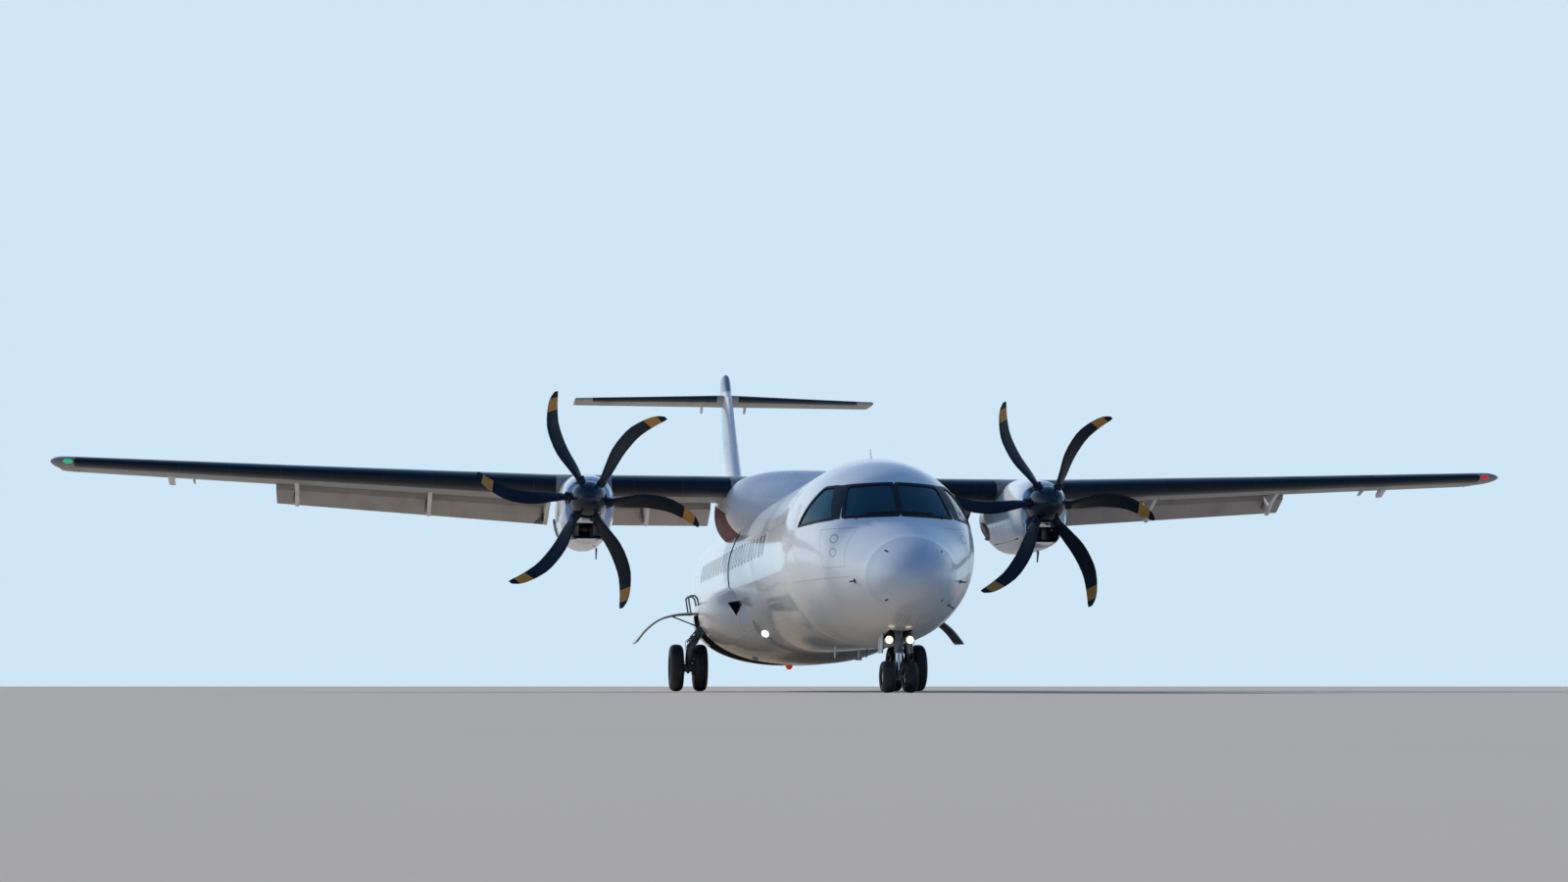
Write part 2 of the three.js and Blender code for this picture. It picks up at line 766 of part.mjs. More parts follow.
// A pivot stub on the hinge line beyond one end of a surface, as close as its slant allows.
// The surface's end is square to the given direction; the stub reaches into the fixed structure.
function stub(end, otherEnd, square, gap = END_GAP) {
  const away = new THREE.Vector3().subVectors(end, otherEnd).normalize();
  const slant = Math.acos(Math.abs(away.dot(square)));
  const near = PIVOT + STUB_RADIUS * Math.tan(slant);
  const far = near + 1.6 * gap;
  return bar(
    end.clone().addScaledVector(away, near),
    end.clone().addScaledVector(away, far),
    STUB_RADIUS,
  );
}

const ACROSS = new THREE.Vector3(1, 0, 0);
const UPRIGHT = new THREE.Vector3(0, 0, 1);

const wingCentre = join(
  cut(
    loft([-BREAK_X, BREAK_X].map((x) => wingRing(Math.abs(x)).map((p) => p.setX(x)))),
    alongWing(flapBay, INNER_FLAP.from - 10, INNER_FLAP.to + 10),
    mirrored(alongWing(flapBay, INNER_FLAP.from - 10, INNER_FLAP.to + 10)),
  ),
  ...INNER_FLAP.brackets.map((x) => flapBracket(INNER_FLAP, x)),
  ...INNER_FLAP.brackets.map((x) => mirrored(flapBracket(INNER_FLAP, x))),
);
addPiece('wing_centre', wingCentre, GREY_PAINT);

const aileronStart = wingPoint(AILERON.from, ...aileronHinge(AILERON.from));
const aileronEnd = wingPoint(AILERON.to, ...aileronHinge(AILERON.to));
const wingOuter = join(
  cut(
    loft([
      wingRing(BREAK_X + SEAT),
      wingRing(13230),
      wingRing(13420, 0, 0.95, 0.85),
      wingRing(HALF_SPAN, 0, 0.78, 0.35),
    ]),
    alongWing(flapBay, BREAK_X - 50, OUTER_FLAP.to + 40),
    alongWing(aileronBay, AILERON.from - END_GAP, AILERON.to + END_GAP),
  ),
  stub(aileronStart, aileronEnd, ACROSS),
  stub(aileronEnd, aileronStart, ACROSS),
  ...OUTER_FLAP.brackets.map((x) => flapBracket(OUTER_FLAP, x)),
);
addPair('wing_outer', wingOuter, GREY_PAINT);

addPair('flap_inner', flap(INNER_FLAP), GREY_PAINT);
addPair('flap_outer', flap(OUTER_FLAP), GREY_PAINT);

const aileron = alongWing(
  (x) => hingedOutline(wingChord(x), AILERON_HINGE, wingThickness(x), WING_CAMBER),
  AILERON.from,
  AILERON.to,
);
addPair('aileron', aileron, GREY_PAINT);

// Fuselage under the wing, and the fairings that blend the wing and the landing gear into it

const wingEnvelope = loft(
  [-BREAK_X, BREAK_X].map((x) => wingRing(Math.abs(x), SEAT + 0.2).map((p) => p.setX(x))),
);

// Fairing sections: station, height of the widest line, rise, depth, half width
const ROOT_FAIRING = [
  [10100, 3300, 190, 400, 520],
  [10700, 3350, 430, 560, 1050],
  [11350, 3400, 610, 760, 1450],
  [12400, 3400, 640, 800, 1500],
  [13500, 3380, 560, 800, 1480],
  [14400, 3320, 350, 760, 1300],
  [15600, 3250, 200, 500, 650],
];
const BELLY_FAIRING = [
  [9900, 1320, 350, 650, 1170],
  [10300, 1370, 480, 770, 1450],
  [10900, 1420, 580, 890, 1730],
  [11600, 1440, 620, 950, 1880],
  [12600, 1440, 620, 960, 1920],
  [13700, 1430, 610, 950, 1880],
  [14600, 1400, 540, 880, 1700],
  [15500, 1350, 420, 760, 1400],
  [16100, 1320, 340, 640, 1160],
];

const fuselageCentre = cut(fuselageSkin(CENTRE_START, CENTRE_END - SEAT), wingEnvelope);
addPiece('fuselage_centre', fuselageCentre, WHITE_PAINT);

const rootFairing = cut(
  ovalBody(ROOT_FAIRING, 10100, 15600, { power: 2.6 }),
  fuselageSkin(9500, 16200, SEAT),
  wingEnvelope,
);
addPiece('wing_root_fairing', rootFairing, WHITE_PAINT);

// Wheel wells in the belly fairing: the wheel's space, and beside it the leg's slot
const WELL = { from: 11850, to: 13450, inner: 280, outer: 1600, top: 1250 };
const LEG_SLOT = { from: 12150, to: 13050, inner: 1500, outer: 2100, top: 1395 };

function wellBlock(well) {
  return block([well.inner, well.from, 200], [well.outer, well.to, well.top]);
}

const wells = [WELL, LEG_SLOT].map(wellBlock);
const bellyOuter = (grow) => ovalBody(BELLY_FAIRING, 9900, 16100, { grow, power: 2.3 });
const bellyPad = jackPad(BELLY_JACK.x, BELLY_JACK.station, BELLY_JACK.foot, BELLY_JACK.foot + 150);
const bellyFairing = cut(
  join(bellyOuter(0), bellyPad, mirrored(bellyPad)),
  fuselageSkin(9500, 16200, SEAT),
  ...wells,
  ...wells.map(mirrored),
);
addPiece('belly_fairing', bellyFairing, WHITE_PAINT);

// Engines: a nacelle under each wing with a hollow for the engine and an intake below the spinner

const ENGINE_Z = 3300;
const SPINNER_TIP = 9130;
const SPINNER_RADIUS = 330;
const PROPELLER_STATION = 9600;
const NACELLE_START = 9880;
const NACELLE_END = 14350;

// Nacelle sections: station, height of the widest line, rise, depth, half width
const NACELLE = [
  [NACELLE_START, 3300, 365, 710, 395],
  [10020, 3300, 430, 750, 455],
  [10600, 3290, 530, 770, 500],
  [11450, 3270, 620, 750, 500],
  [12400, 3250, 560, 690, 495],
  [13200, 3280, 380, 520, 450],
  [13900, 3330, 240, 330, 310],
  [NACELLE_END, 3380, 70, 90, 70],
];
const ENGINE_ROOM = { halfWidth: 370, from: 10350, to: 12300, bottom: 2720, top: 3440 };
const INTAKE = { halfWidth: 270, bottom: 2645, top: 2915, to: 10500 };

function engineX(side) {
  return side * ENGINE_X;
}

// The exhaust leaves on the aircraft's right side of each nacelle
const EXHAUST = { from: 12150, to: 12980, radius: 175, bore: 155, startX: -230, endX: -500 };
const EXHAUST_Z = 3010;

function exhaustBar(x, radius, endAft, startAft = 0) {
  const slope = (EXHAUST.endX - EXHAUST.startX) / (EXHAUST.to - EXHAUST.from);
  const place = (station) =>
    at(x + EXHAUST.startX + slope * (station - EXHAUST.from), station, EXHAUST_Z);
  return bar(place(EXHAUST.from + startAft), place(EXHAUST.to + endAft), radius, radius, 16);
}

function intakeDuct(x) {
  const corner = 90;
  const { halfWidth, bottom, top } = INTAKE;
  const outline = [
    [halfWidth - corner, bottom],
    [halfWidth, bottom + corner],
    [halfWidth, top - corner],
    [halfWidth - corner, top],
  ];
  const ring = [
    ...outline,
    ...outline.toReversed().map(([dx, z]) => [-dx, z]),
  ];
  return loft([NACELLE_START - 100, INTAKE.to].map((s) => ring.map(([dx, z]) => at(x + dx, s, z))));
}

function nacelle(x) {
  const { halfWidth, from, to, bottom, top } = ENGINE_ROOM;
  return cut(
    ovalBody(NACELLE, NACELLE_START, NACELLE_END, { x, count: AROUND_NACELLE, power: 2.25 }),
    block([x - halfWidth, from, bottom], [x + halfWidth, to, top]),
    intakeDuct(x),
    exhaustBar(x, EXHAUST.radius + SEAT, 400, -SEAT),
    wingEnvelope,
  );
}

// One plain block on four feet
function engineBlock(x) {
  const { bottom } = ENGINE_ROOM;
  const feet = [
    [-220, 10560],
    [120, 10560],
    [-220, 11960],
    [120, 11960],
  ];
  return join(
    block([x - 290, 10480, 2960], [x + 290, 12130, ENGINE_ROOM.top - 60]),
    ...feet.map(([dx, s]) =>
      block([x + dx, s, bottom + SEAT], [x + dx + 100, s + 100, 3000]),
    ),
  );
}

// Propellers: six swept blades on a hub, and a spinner over the hub

const BLADE_COUNT = 6;
const BLADE_ANGLES = { left: 52.5 * RAD, right: 47 * RAD };
const HUB = { radius: 190, from: 9450, to: 9840 };
const SHANK = { radius: 78, from: 150, to: 420 };
// Blade sections: radius as a share, chord, sweep of its middle ahead of the tip, pitch, thickness
const BLADE = [
  [0.19, 165, 5.5, 55, 0.5],
  [0.3, 250, 9, 47, 0.22],
  [0.48, 285, 12, 38, 0.12],
  [0.68, 270, 10, 31, 0.09],
  [0.85, 225, 5.5, 27, 0.08],
  [0.95, 165, 2.2, 25, 0.08],
  [1, 70, 0, 24, 0.1],
];
const BLADE_STEPS = [0, 0.1, 0.35, 0.7, 1];

// A blade drawn for a tip that points to an angle, anticlockwise as seen from ahead
function blade(x, tipAngle) {
  const rings = BLADE.map(([share, chord, sweep, pitch, thickness]) => {
    const radius = share * PROPELLER_RADIUS;
    const angle = tipAngle + sweep * RAD;
    const reach = share === 1 ? Math.sqrt(radius ** 2 - (chord / 2) ** 2) : radius;
    const centre = new THREE.Vector3(Math.cos(angle) * reach, 0, Math.sin(angle) * reach);
    const forward = new THREE.Vector3(0, -1, 0);
    const around = new THREE.Vector3(-Math.sin(angle), 0, Math.cos(angle));
    const along = around.clone().multiplyScalar(Math.cos(pitch * RAD));
    along.addScaledVector(forward, Math.sin(pitch * RAD));
    const across = new THREE.Vector3().crossVectors(along, centre).normalize();
    const point = (u, side) =>
      centre
        .clone()
        .addScaledVector(along, (0.5 - u) * chord)
        .addScaledVector(across, side * (halfThickness(u, thickness) + 0.006) * chord)
        .add(at(x, PROPELLER_STATION, ENGINE_Z));
    return [
      ...BLADE_STEPS.toReversed().map((u) => point(u, 1)),
      ...BLADE_STEPS.map((u) => point(u, -1)),
    ];
  });
  return loft(rings);
}

function shank(x, tipAngle) {
  const angle = tipAngle + BLADE[0][2] * RAD;
  const place = (radius) =>
    at(x + Math.cos(angle) * radius, PROPELLER_STATION, ENGINE_Z + Math.sin(angle) * radius);
  return { place, body: bar(place(SHANK.from), place(SHANK.to), SHANK.radius, SHANK.radius, 8) };
}

function tipAngles(firstAngle) {
  return Array.from({ length: BLADE_COUNT }, (_, i) => firstAngle + (2 * Math.PI * i) / BLADE_COUNT);
}

function propeller(x, firstAngle) {
  const angles = tipAngles(firstAngle);
  const hub = bar(at(x, HUB.from, ENGINE_Z), at(x, HUB.to, ENGINE_Z), HUB.radius, HUB.radius, 16);
  const shaft = bar(at(x, HUB.to - 5, ENGINE_Z), at(x, NACELLE_START - PIVOT, ENGINE_Z), 110);
  return join(
    hub,
    shaft,
    ...angles.map((angle) => shank(x, angle).body),
    ...angles.map((angle) => blade(x, angle)),
  );
}

// A cap over the hub with a hole for each blade; its hollow opens to the rear
function spinner(x, firstAngle) {
  const length = NACELLE_START - 20 - SPINNER_TIP;
  const outside = [0, 0.07, 0.22, 0.45, 0.8, 1].map((share) => [
    SPINNER_RADIUS * Math.sqrt(1 - (1 - Math.min(share / 0.8, 1)) ** 2.2),
    SPINNER_TIP + share * length,
  ]);
  const profile = [
    ...outside,
    [SPINNER_RADIUS - 25, NACELLE_START - 20],
    [SPINNER_RADIUS - 25, HUB.from + 30],
    [HUB.radius + 20, HUB.from - SEAT],
    [0, HUB.from - SEAT],
  ];
  const cap = turned(
    profile.map(([radius, station]) => [radius, station - LENGTH / 2]),
    'Y',
    new THREE.Vector3(x, 0, ENGINE_Z),
    AROUND_NACELLE,
  );
  const shell = turnedAbout(cap, at(x, 0, ENGINE_Z), at(x, 1, ENGINE_Z), -firstAngle);
  const holes = tipAngles(firstAngle).map((angle) => {
    const { place } = shank(x, angle);
    return bar(place(SHANK.from), place(SHANK.to), SHANK.radius + 14, SHANK.radius + 40, 8);
  });
  return cut(shell, ...holes);
}

for (const [side, name] of [[1, 'left'], [-1, 'right']]) {
  const x = engineX(side);
  addPiece(`nacelle_${name}`, nacelle(x), WHITE_PAINT);
  addPiece(`engine_${name}`, engineBlock(x), BARE_METAL);
  addPiece(
    `exhaust_${name}`,
    cut(exhaustBar(x, EXHAUST.radius, 0), exhaustBar(x, EXHAUST.bore, 100, 250)),
    BURNT_STEEL,
  );
  addPiece(`propeller_${name}`, propeller(x, BLADE_ANGLES[name]), DARK_BLADE);
  addPiece(`spinner_${name}`, spinner(x, BLADE_ANGLES[name]), DARK_BLADE);
}

// Tail: a fin with its rudder, and a tailplane with its elevators across the top of the fin

// Fin sections: height, station of the leading edge, station of the trailing edge
const FIN_FOOT = [3000, 21460, 26180];
const FIN_TOP = [7000, 24950, 26750];
const FIN_THICKNESS = 0.11;
const RUDDER = { from: 3585, to: 6760, hinge: 0.62 };
// The slanted hinge lifts and lowers the rudder's ends as it turns, so they have more room
const RUDDER_ROOM = 45;
const DORSAL_HALF = 45;
const DORSAL = [
  [18800, 3300],
  [22600, 3300],
  [23200, 4560],
  [21800, 3900],
  [19300, 3540],
];

function finAt(z) {
  const share = (z - FIN_FOOT[0]) / (FIN_TOP[0] - FIN_FOOT[0]);
  const [front, rear] = [1, 2].map((k) => FIN_FOOT[k] + share * (FIN_TOP[k] - FIN_FOOT[k]));
  return { front, chord: rear - front };
}

// An upright shape whose level outline is given by a function of height
function upFin(outline, from, to) {
  return loft(
    [from, to].map((z) => outline(z).map(([aft, across]) => at(across, finAt(z).front + aft, z))),
  );
}

function finOutline(z) {
  const { chord } = finAt(z);
  return sectionOutline(FIN_THICKNESS, 0).map(([u, w]) => [u * chord, w * chord]);
}

function rudderBay(z) {
  const { chord } = finAt(z);
  const radius = halfThickness(RUDDER.hinge, FIN_THICKNESS) * chord + RUNNING + 6;
  return hingeBay(RUDDER.hinge * chord, 0, radius, chord);
}

function rudderHinge(z) {
  const { front, chord } = finAt(z);
  return at(0, front + RUDDER.hinge * chord, z);
}

const TAILPLANE = { station: 25256, height: 7000, halfSpan: 3655, tipChord: 1300, thickness: 0.12 };
const ELEVATOR = { chord: 580, from: 260, to: 3600 };
const FIN_CAP = [
  [7000, 25120, 1830],
  [7120, 25180, 1760],
  [7480, 25520, 1330],
  [7610, 25700, 1080],
  [HEIGHT, 25900, 760],
];
const CAP_WIDTHS = [0.13, 0.13, 0.16, 0.13, 0.05];

function tailChord(x) {
  const root = LENGTH - TAILPLANE.station;
  return root - ((root - TAILPLANE.tipChord) * Math.abs(x)) / TAILPLANE.halfSpan;
}

function tailRing(x, grow = 0, flatten = 1) {
  const chord = tailChord(x);
  const outline = sectionOutline(TAILPLANE.thickness * flatten, 0).map(([u, w]) => [
    u * chord,
    w * chord,
  ]);
  return grown(outline, grow).map(([u, w]) =>
    at(x, LENGTH - chord + u, TAILPLANE.height + w),
  );
}

const tailEnvelope = loft([-700, 0, 700].map((x) => tailRing(x, SEAT + 0.2)));

const elevatorHingeStation = LENGTH - ELEVATOR.chord;

function elevatorShape(x, make) {
  const chord = tailChord(x);
  const hinge = 1 - ELEVATOR.chord / chord;
  return make(chord, hinge).map(([u, w]) => at(x, LENGTH - chord + u, TAILPLANE.height + w));
}

function elevatorBay(x) {
  return elevatorShape(x, (chord, hinge) => {
    const radius = halfThickness(hinge, TAILPLANE.thickness) * chord + RUNNING;
    return hingeBay(hinge * chord, 0, radius, 700);
  });
}

const elevator = loft(
  [ELEVATOR.from, ELEVATOR.to].map((x) =>
    elevatorShape(x, (chord, hinge) => hingedOutline(chord, hinge, TAILPLANE.thickness, 0)),
  ),
);
addPair('elevator', elevator, GREY_PAINT);

const elevatorBayBody = loft([ELEVATOR.from - END_GAP, ELEVATOR.to + END_GAP].map(elevatorBay));
const elevatorEnds = [ELEVATOR.from, ELEVATOR.to].map((x) =>
  at(x, elevatorHingeStation, TAILPLANE.height),
);
const elevatorStubs = [
  stub(elevatorEnds[0], elevatorEnds[1], ACROSS),
  stub(elevatorEnds[1], elevatorEnds[0], ACROSS),
];

const tailplane = join(
  cut(
    loft([
      tailRing(-TAILPLANE.halfSpan, 0, 0.7),
      tailRing(0),
      tailRing(TAILPLANE.halfSpan, 0, 0.7),
    ]),
    elevatorBayBody,
    mirrored(elevatorBayBody),
  ),
  ...elevatorStubs,
  ...elevatorStubs.map(mirrored),
);
addPiece('tailplane', tailplane, GREY_PAINT);

const rudderEnds = [RUDDER.from, RUDDER.to].map(rudderHinge);
const rudderStubs = [
  stub(rudderEnds[0], rudderEnds[1], UPRIGHT, RUDDER_ROOM),
  stub(rudderEnds[1], rudderEnds[0], UPRIGHT, RUDDER_ROOM),
];

const dorsal = loft(
  [-DORSAL_HALF, DORSAL_HALF].map((x) => DORSAL.map(([station, z]) => at(x, station, z))),
);
const fin = join(
  cut(
    join(upFin(finOutline, FIN_FOOT[0], FIN_TOP[0]), dorsal),
    upFin(rudderBay, RUDDER.from - RUDDER_ROOM, RUDDER.to + RUDDER_ROOM),
    fuselageSkin(18000, 26400, SEAT),
    tailEnvelope,
  ),
  ...rudderStubs,
);
const rudder = upFin(
  (z) => hingedOutline(finAt(z).chord, RUDDER.hinge, FIN_THICKNESS, 0),
  RUDDER.from,
  RUDDER.to,
);
addPiece('tail_cone', tailCone, WHITE_PAINT);
addPiece('fin', fin, WHITE_PAINT);
addPiece('rudder', rudder, WHITE_PAINT);

const finCap = cut(
  loft(
    FIN_CAP.map(([z, station, chord], i) =>
      sectionOutline(CAP_WIDTHS[i], 0).map(([u, w]) => at(w * chord, station + u * chord, z)),
    ),
  ),
  tailEnvelope,
);
addPiece('fin_cap', finCap, WHITE_PAINT);

// Wheels: a pair of rims on one live axle, and a tyre on each rim

// Wheel sizes: tyre radius and half width, rim radius, distance from the middle of the pair, axle
const NOSE_WHEEL = { radius: 225, half: 95, rim: 118, offset: 160, axle: 29 };
const MAIN_WHEEL = { radius: 432, half: 125, rim: 215, offset: 220, axle: 48 };
const AXLE_GAP = 0.25;

function tyre(wheel, centre) {
  const { radius, half, rim } = wheel;
  const wall = radius - rim;
  const profile = [
    [rim + SEAT, -0.68 * half],
    [rim + 0.45 * wall, -half],
    [rim + 0.8 * wall, -0.92 * half],
    [radius, -0.58 * half],
    [radius, 0.58 * half],
    [rim + 0.8 * wall, 0.92 * half],
    [rim + 0.45 * wall, half],
    [rim + SEAT, 0.68 * half],
    [rim + SEAT, -0.68 * half],
  ];
  return turned(profile, 'X', centre, AROUND_WHEEL);
}

function wheelPair(wheel, centre) {
  const { half, rim, offset, axle } = wheel;
  const [near, far] = [offset - 0.62 * half, offset + 0.62 * half];
  const outer = [
    [axle, near + 0.3 * half],
    [rim * 0.85, near],
    [rim, near],
    [rim, far],
    [rim * 0.88, far],
    [rim * 0.6, far - 0.45 * half],
    [axle * 1.5, far + 0.1 * half],
    [0, far + 0.1 * half],
  ];
  const inner = outer.toReversed().map(([radius, along]) => [radius, -along]);
  return turned([...inner, ...outer], 'X', centre, AROUND_WHEEL);
}

function addWheels(prefix, wheel, centre, names) {
  addPiece(`${prefix}_hub${names.suffix}`, wheelPair(wheel, centre), BARE_METAL);
  for (const [name, way] of names.tyres) {
    const place = centre.clone().add(new THREE.Vector3(way * wheel.offset, 0, 0));
    addPiece(`${prefix}_tyre_${name}`, tyre(wheel, place), TYRE_RUBBER);
  }
}

// A lug along X at an axle, with a bore that the axle turns in
function axleLug(centre, halfLength, radius, bore) {
  const place = (x) => centre.clone().setX(centre.x + x);
  const boreCorner = bore / Math.cos(Math.PI / AROUND_WHEEL);
  return {
    body: bar(place(-halfLength), place(halfLength), radius, radius, AROUND_WHEEL),
    bore: bar(place(-halfLength - 20), place(halfLength + 20), boreCorner, boreCorner, AROUND_WHEEL),
  };
}

// Nose gear: a strut in its bay, and below it the part that steers

const STRUT_FOOT = 620;
const noseAxle = at(0, NOSE_GEAR_STATION, NOSE_WHEEL.radius);
const onNoseLeg = (x, ahead, z) => at(x, NOSE_GEAR_STATION - ahead, z);

const noseLeg = join(
  bar(onNoseLeg(0, 0, STRUT_FOOT), onNoseLeg(0, 0, NOSE_BAY.top - SEAT), 62),
  bar(onNoseLeg(0, -40, 720), onNoseLeg(0, -400, NOSE_BAY.top - SEAT - 30), 28),
  bar(onNoseLeg(0, -400, NOSE_BAY.top - SEAT - 60), onNoseLeg(0, -400, NOSE_BAY.top - SEAT), 34),
  bar(onNoseLeg(-150, 30, 745), onNoseLeg(150, 30, 745), 22),
  bar(onNoseLeg(-150, 100, 745), onNoseLeg(-150, 10, 745), 62, 40),
  bar(onNoseLeg(150, 100, 745), onNoseLeg(150, 10, 745), 62, 40),
);
addPiece('nose_leg', noseLeg, DARK_STEEL);

const noseLug = axleLug(noseAxle, 52, 46, NOSE_WHEEL.axle + AXLE_GAP);
const noseSteering = cut(
  join(
    bar(onNoseLeg(0, 0, 560), onNoseLeg(0, 0, STRUT_FOOT - PIVOT), 62),
    bar(onNoseLeg(0, 0, NOSE_WHEEL.radius), onNoseLeg(0, 0, 570), 40),
    bar(onNoseLeg(0, -50, 575), onNoseLeg(0, -170, 440), 22),
    bar(onNoseLeg(0, -170, 440), onNoseLeg(0, -40, 290), 22),
    block([-28, NOSE_GEAR_STATION - 90, 195], [28, NOSE_GEAR_STATION - 30, 255]),
    noseLug.body,
  ),
  noseLug.bore,
);
addPiece('nose_steering', noseSteering, BARE_METAL);
addWheels('nose_wheel', NOSE_WHEEL, noseAxle, {
  suffix: '',
  tyres: [['left', 1], ['right', -1]],
});

// Two small doors hang open beside the leg
const noseDoor = cut(
  loft(
    [1960, 2320].map((station) => [
      at(186, station, 1000),
      at(206, station, 1000),
      at(226, station, 560),
      at(206, station, 560),
    ]),
  ),
  fuselageSkin(1500, 2600, SEAT),
);
addPair('nose_gear_door', noseDoor, WHITE_PAINT);

// Main gear: a trunnion in the belly fairing, a slanted leg and a trailing arm to the axle

const mainAxle = at(HALF_TRACK, MAIN_GEAR_STATION, MAIN_WHEEL.radius);
const TRUNNION = { x: 1740, z: 1250 };
const KNEE = at(2040, 12300, 810);
const mainLug = axleLug(mainAxle, 88, 78, MAIN_WHEEL.axle + AXLE_GAP);
const mainLeg = cut(
  join(
    bar(
      at(TRUNNION.x, LEG_SLOT.from + SEAT, TRUNNION.z),
      at(TRUNNION.x, LEG_SLOT.to - SEAT, TRUNNION.z),
      62,
    ),
    bar(at(TRUNNION.x, 12350, TRUNNION.z), KNEE, 78, 66),
    bar(at(TRUNNION.x, 12900, TRUNNION.z), at(1960, 12330, 950), 32),
    bar(KNEE, mainAxle, 62, 56),
    bar(at(2045, 12600, 500), at(1985, 12360, 1000), 34),
    bar(at(2040, 12240, 810), at(2040, 12370, 810), 72),
    mainLug.body,
  ),
  mainLug.bore,
);
addPair('main_leg', mainLeg, DARK_STEEL);
for (const [name, side] of [['left', 1], ['right', -1]]) {
  const centre = at(side * HALF_TRACK, MAIN_GEAR_STATION, MAIN_WHEEL.radius);
  addWheels('main_wheel', MAIN_WHEEL, centre, {
    suffix: `_${name}`,
    tyres: [[`${name}_outer`, side], [`${name}_inner`, -side]],
  });
}

// The leg's door: a curved panel that stands out from the side of the fairing
// Door line: distance from the middle, height
const MAIN_DOOR = [
  [1860, 1440],
  [2250, 1425],
  [2600, 1330],
  [2860, 1140],
  [3070, 880],
];
const MAIN_DOOR_THICK = 34;

const mainDoor = cut(
  loft(
    [12200, 13000].map((station) => [
      ...MAIN_DOOR.map(([x, z]) => at(x, station, z)),
      ...MAIN_DOOR.toReversed().map(([x, z]) => at(x - 8, station, z - MAIN_DOOR_THICK)),
    ]),
  ),
  bellyOuter(SEAT),
);
addPair('main_gear_door', mainDoor, WHITE_PAINT);

export default airliner;
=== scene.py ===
"""A high-wing regional airliner with turboprop engines, standing on its wheels with its flaps down.

Metres. The nose points along -Y, the aircraft's left side is +X and the floor is Z = 0.
A station is a distance aft of the tip of the nose, as in an aircraft's own drawings.
"""

import functools
import math

import bpy
from mathutils import Matrix, Vector


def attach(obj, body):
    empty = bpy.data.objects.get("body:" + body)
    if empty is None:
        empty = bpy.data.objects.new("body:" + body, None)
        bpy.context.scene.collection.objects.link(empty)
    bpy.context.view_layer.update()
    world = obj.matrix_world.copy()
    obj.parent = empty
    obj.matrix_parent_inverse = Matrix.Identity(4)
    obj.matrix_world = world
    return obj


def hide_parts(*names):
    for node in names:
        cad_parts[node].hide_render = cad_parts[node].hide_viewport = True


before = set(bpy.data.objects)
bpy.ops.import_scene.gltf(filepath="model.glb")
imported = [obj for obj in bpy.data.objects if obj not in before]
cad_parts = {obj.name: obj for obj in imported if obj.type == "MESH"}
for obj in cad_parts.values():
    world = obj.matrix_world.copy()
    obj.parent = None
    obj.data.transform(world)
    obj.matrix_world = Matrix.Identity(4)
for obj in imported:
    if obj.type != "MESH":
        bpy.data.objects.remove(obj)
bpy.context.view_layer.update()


# The studio: a pale floor without an edge, an even sky of a light blue, and one large soft sun.
# The camera stands on the floor ahead of the aircraft's right wing and looks up at the nose.

CAMERA_YAW = math.radians(7.3)
CAMERA_DISTANCE = 42
CAMERA_HEIGHT = 0.09
CAMERA_AIM = Vector((-0.6, -3.6, 4.4))
CAMERA_LENS = 54.9
SUNLIGHT = Vector((0.55, -0.75, -0.43))
# The sky's colours and their places: the palest, the darkest, and two between them
SKY = (
    (0.3, (0.62, 0.79, 0.92)),
    (1.0, (0.05, 0.12, 0.29)),
    (0.42, (0.28, 0.47, 0.72)),
    (0.6, (0.12, 0.26, 0.5)),
)


class Socket:
    """A value in a shader. Arithmetic on it adds Math nodes."""

    def __init__(self, look, output):
        self.look = look
        self.output = output

    def math(self, operation, *others):
        values = dict(enumerate((self, *others)))
        return self.look.node("ShaderNodeMath", {"operation": operation}, values)

    __add__ = __radd__ = functools.partialmethod(math, "ADD")
    __sub__ = functools.partialmethod(math, "SUBTRACT")
    __mul__ = __rmul__ = functools.partialmethod(math, "MULTIPLY")
    __truediv__ = functools.partialmethod(math, "DIVIDE")
    __pow__ = functools.partialmethod(math, "POWER")
    __abs__ = functools.partialmethod(math, "ABSOLUTE")
    __gt__ = functools.partialmethod(math, "GREATER_THAN")
    __lt__ = functools.partialmethod(math, "LESS_THAN")
    least = functools.partialmethod(math, "MINIMUM")
    most = functools.partialmethod(math, "MAXIMUM")

    def __rsub__(self, other):
        return self * -1 + other

    def apart(self, pitch):
        """The distance to the nearest multiple of a pitch."""
        return self.math("PINGPONG", pitch / 2)

    def ease(self, low, high):
        """From 0 at one value to 1 at another, smoothly."""
        sockets = {"Value": self, "From Min": low, "From Max": high}
        return self.look.node("ShaderNodeMapRange", {"interpolation_type": "SMOOTHSTEP"}, sockets)


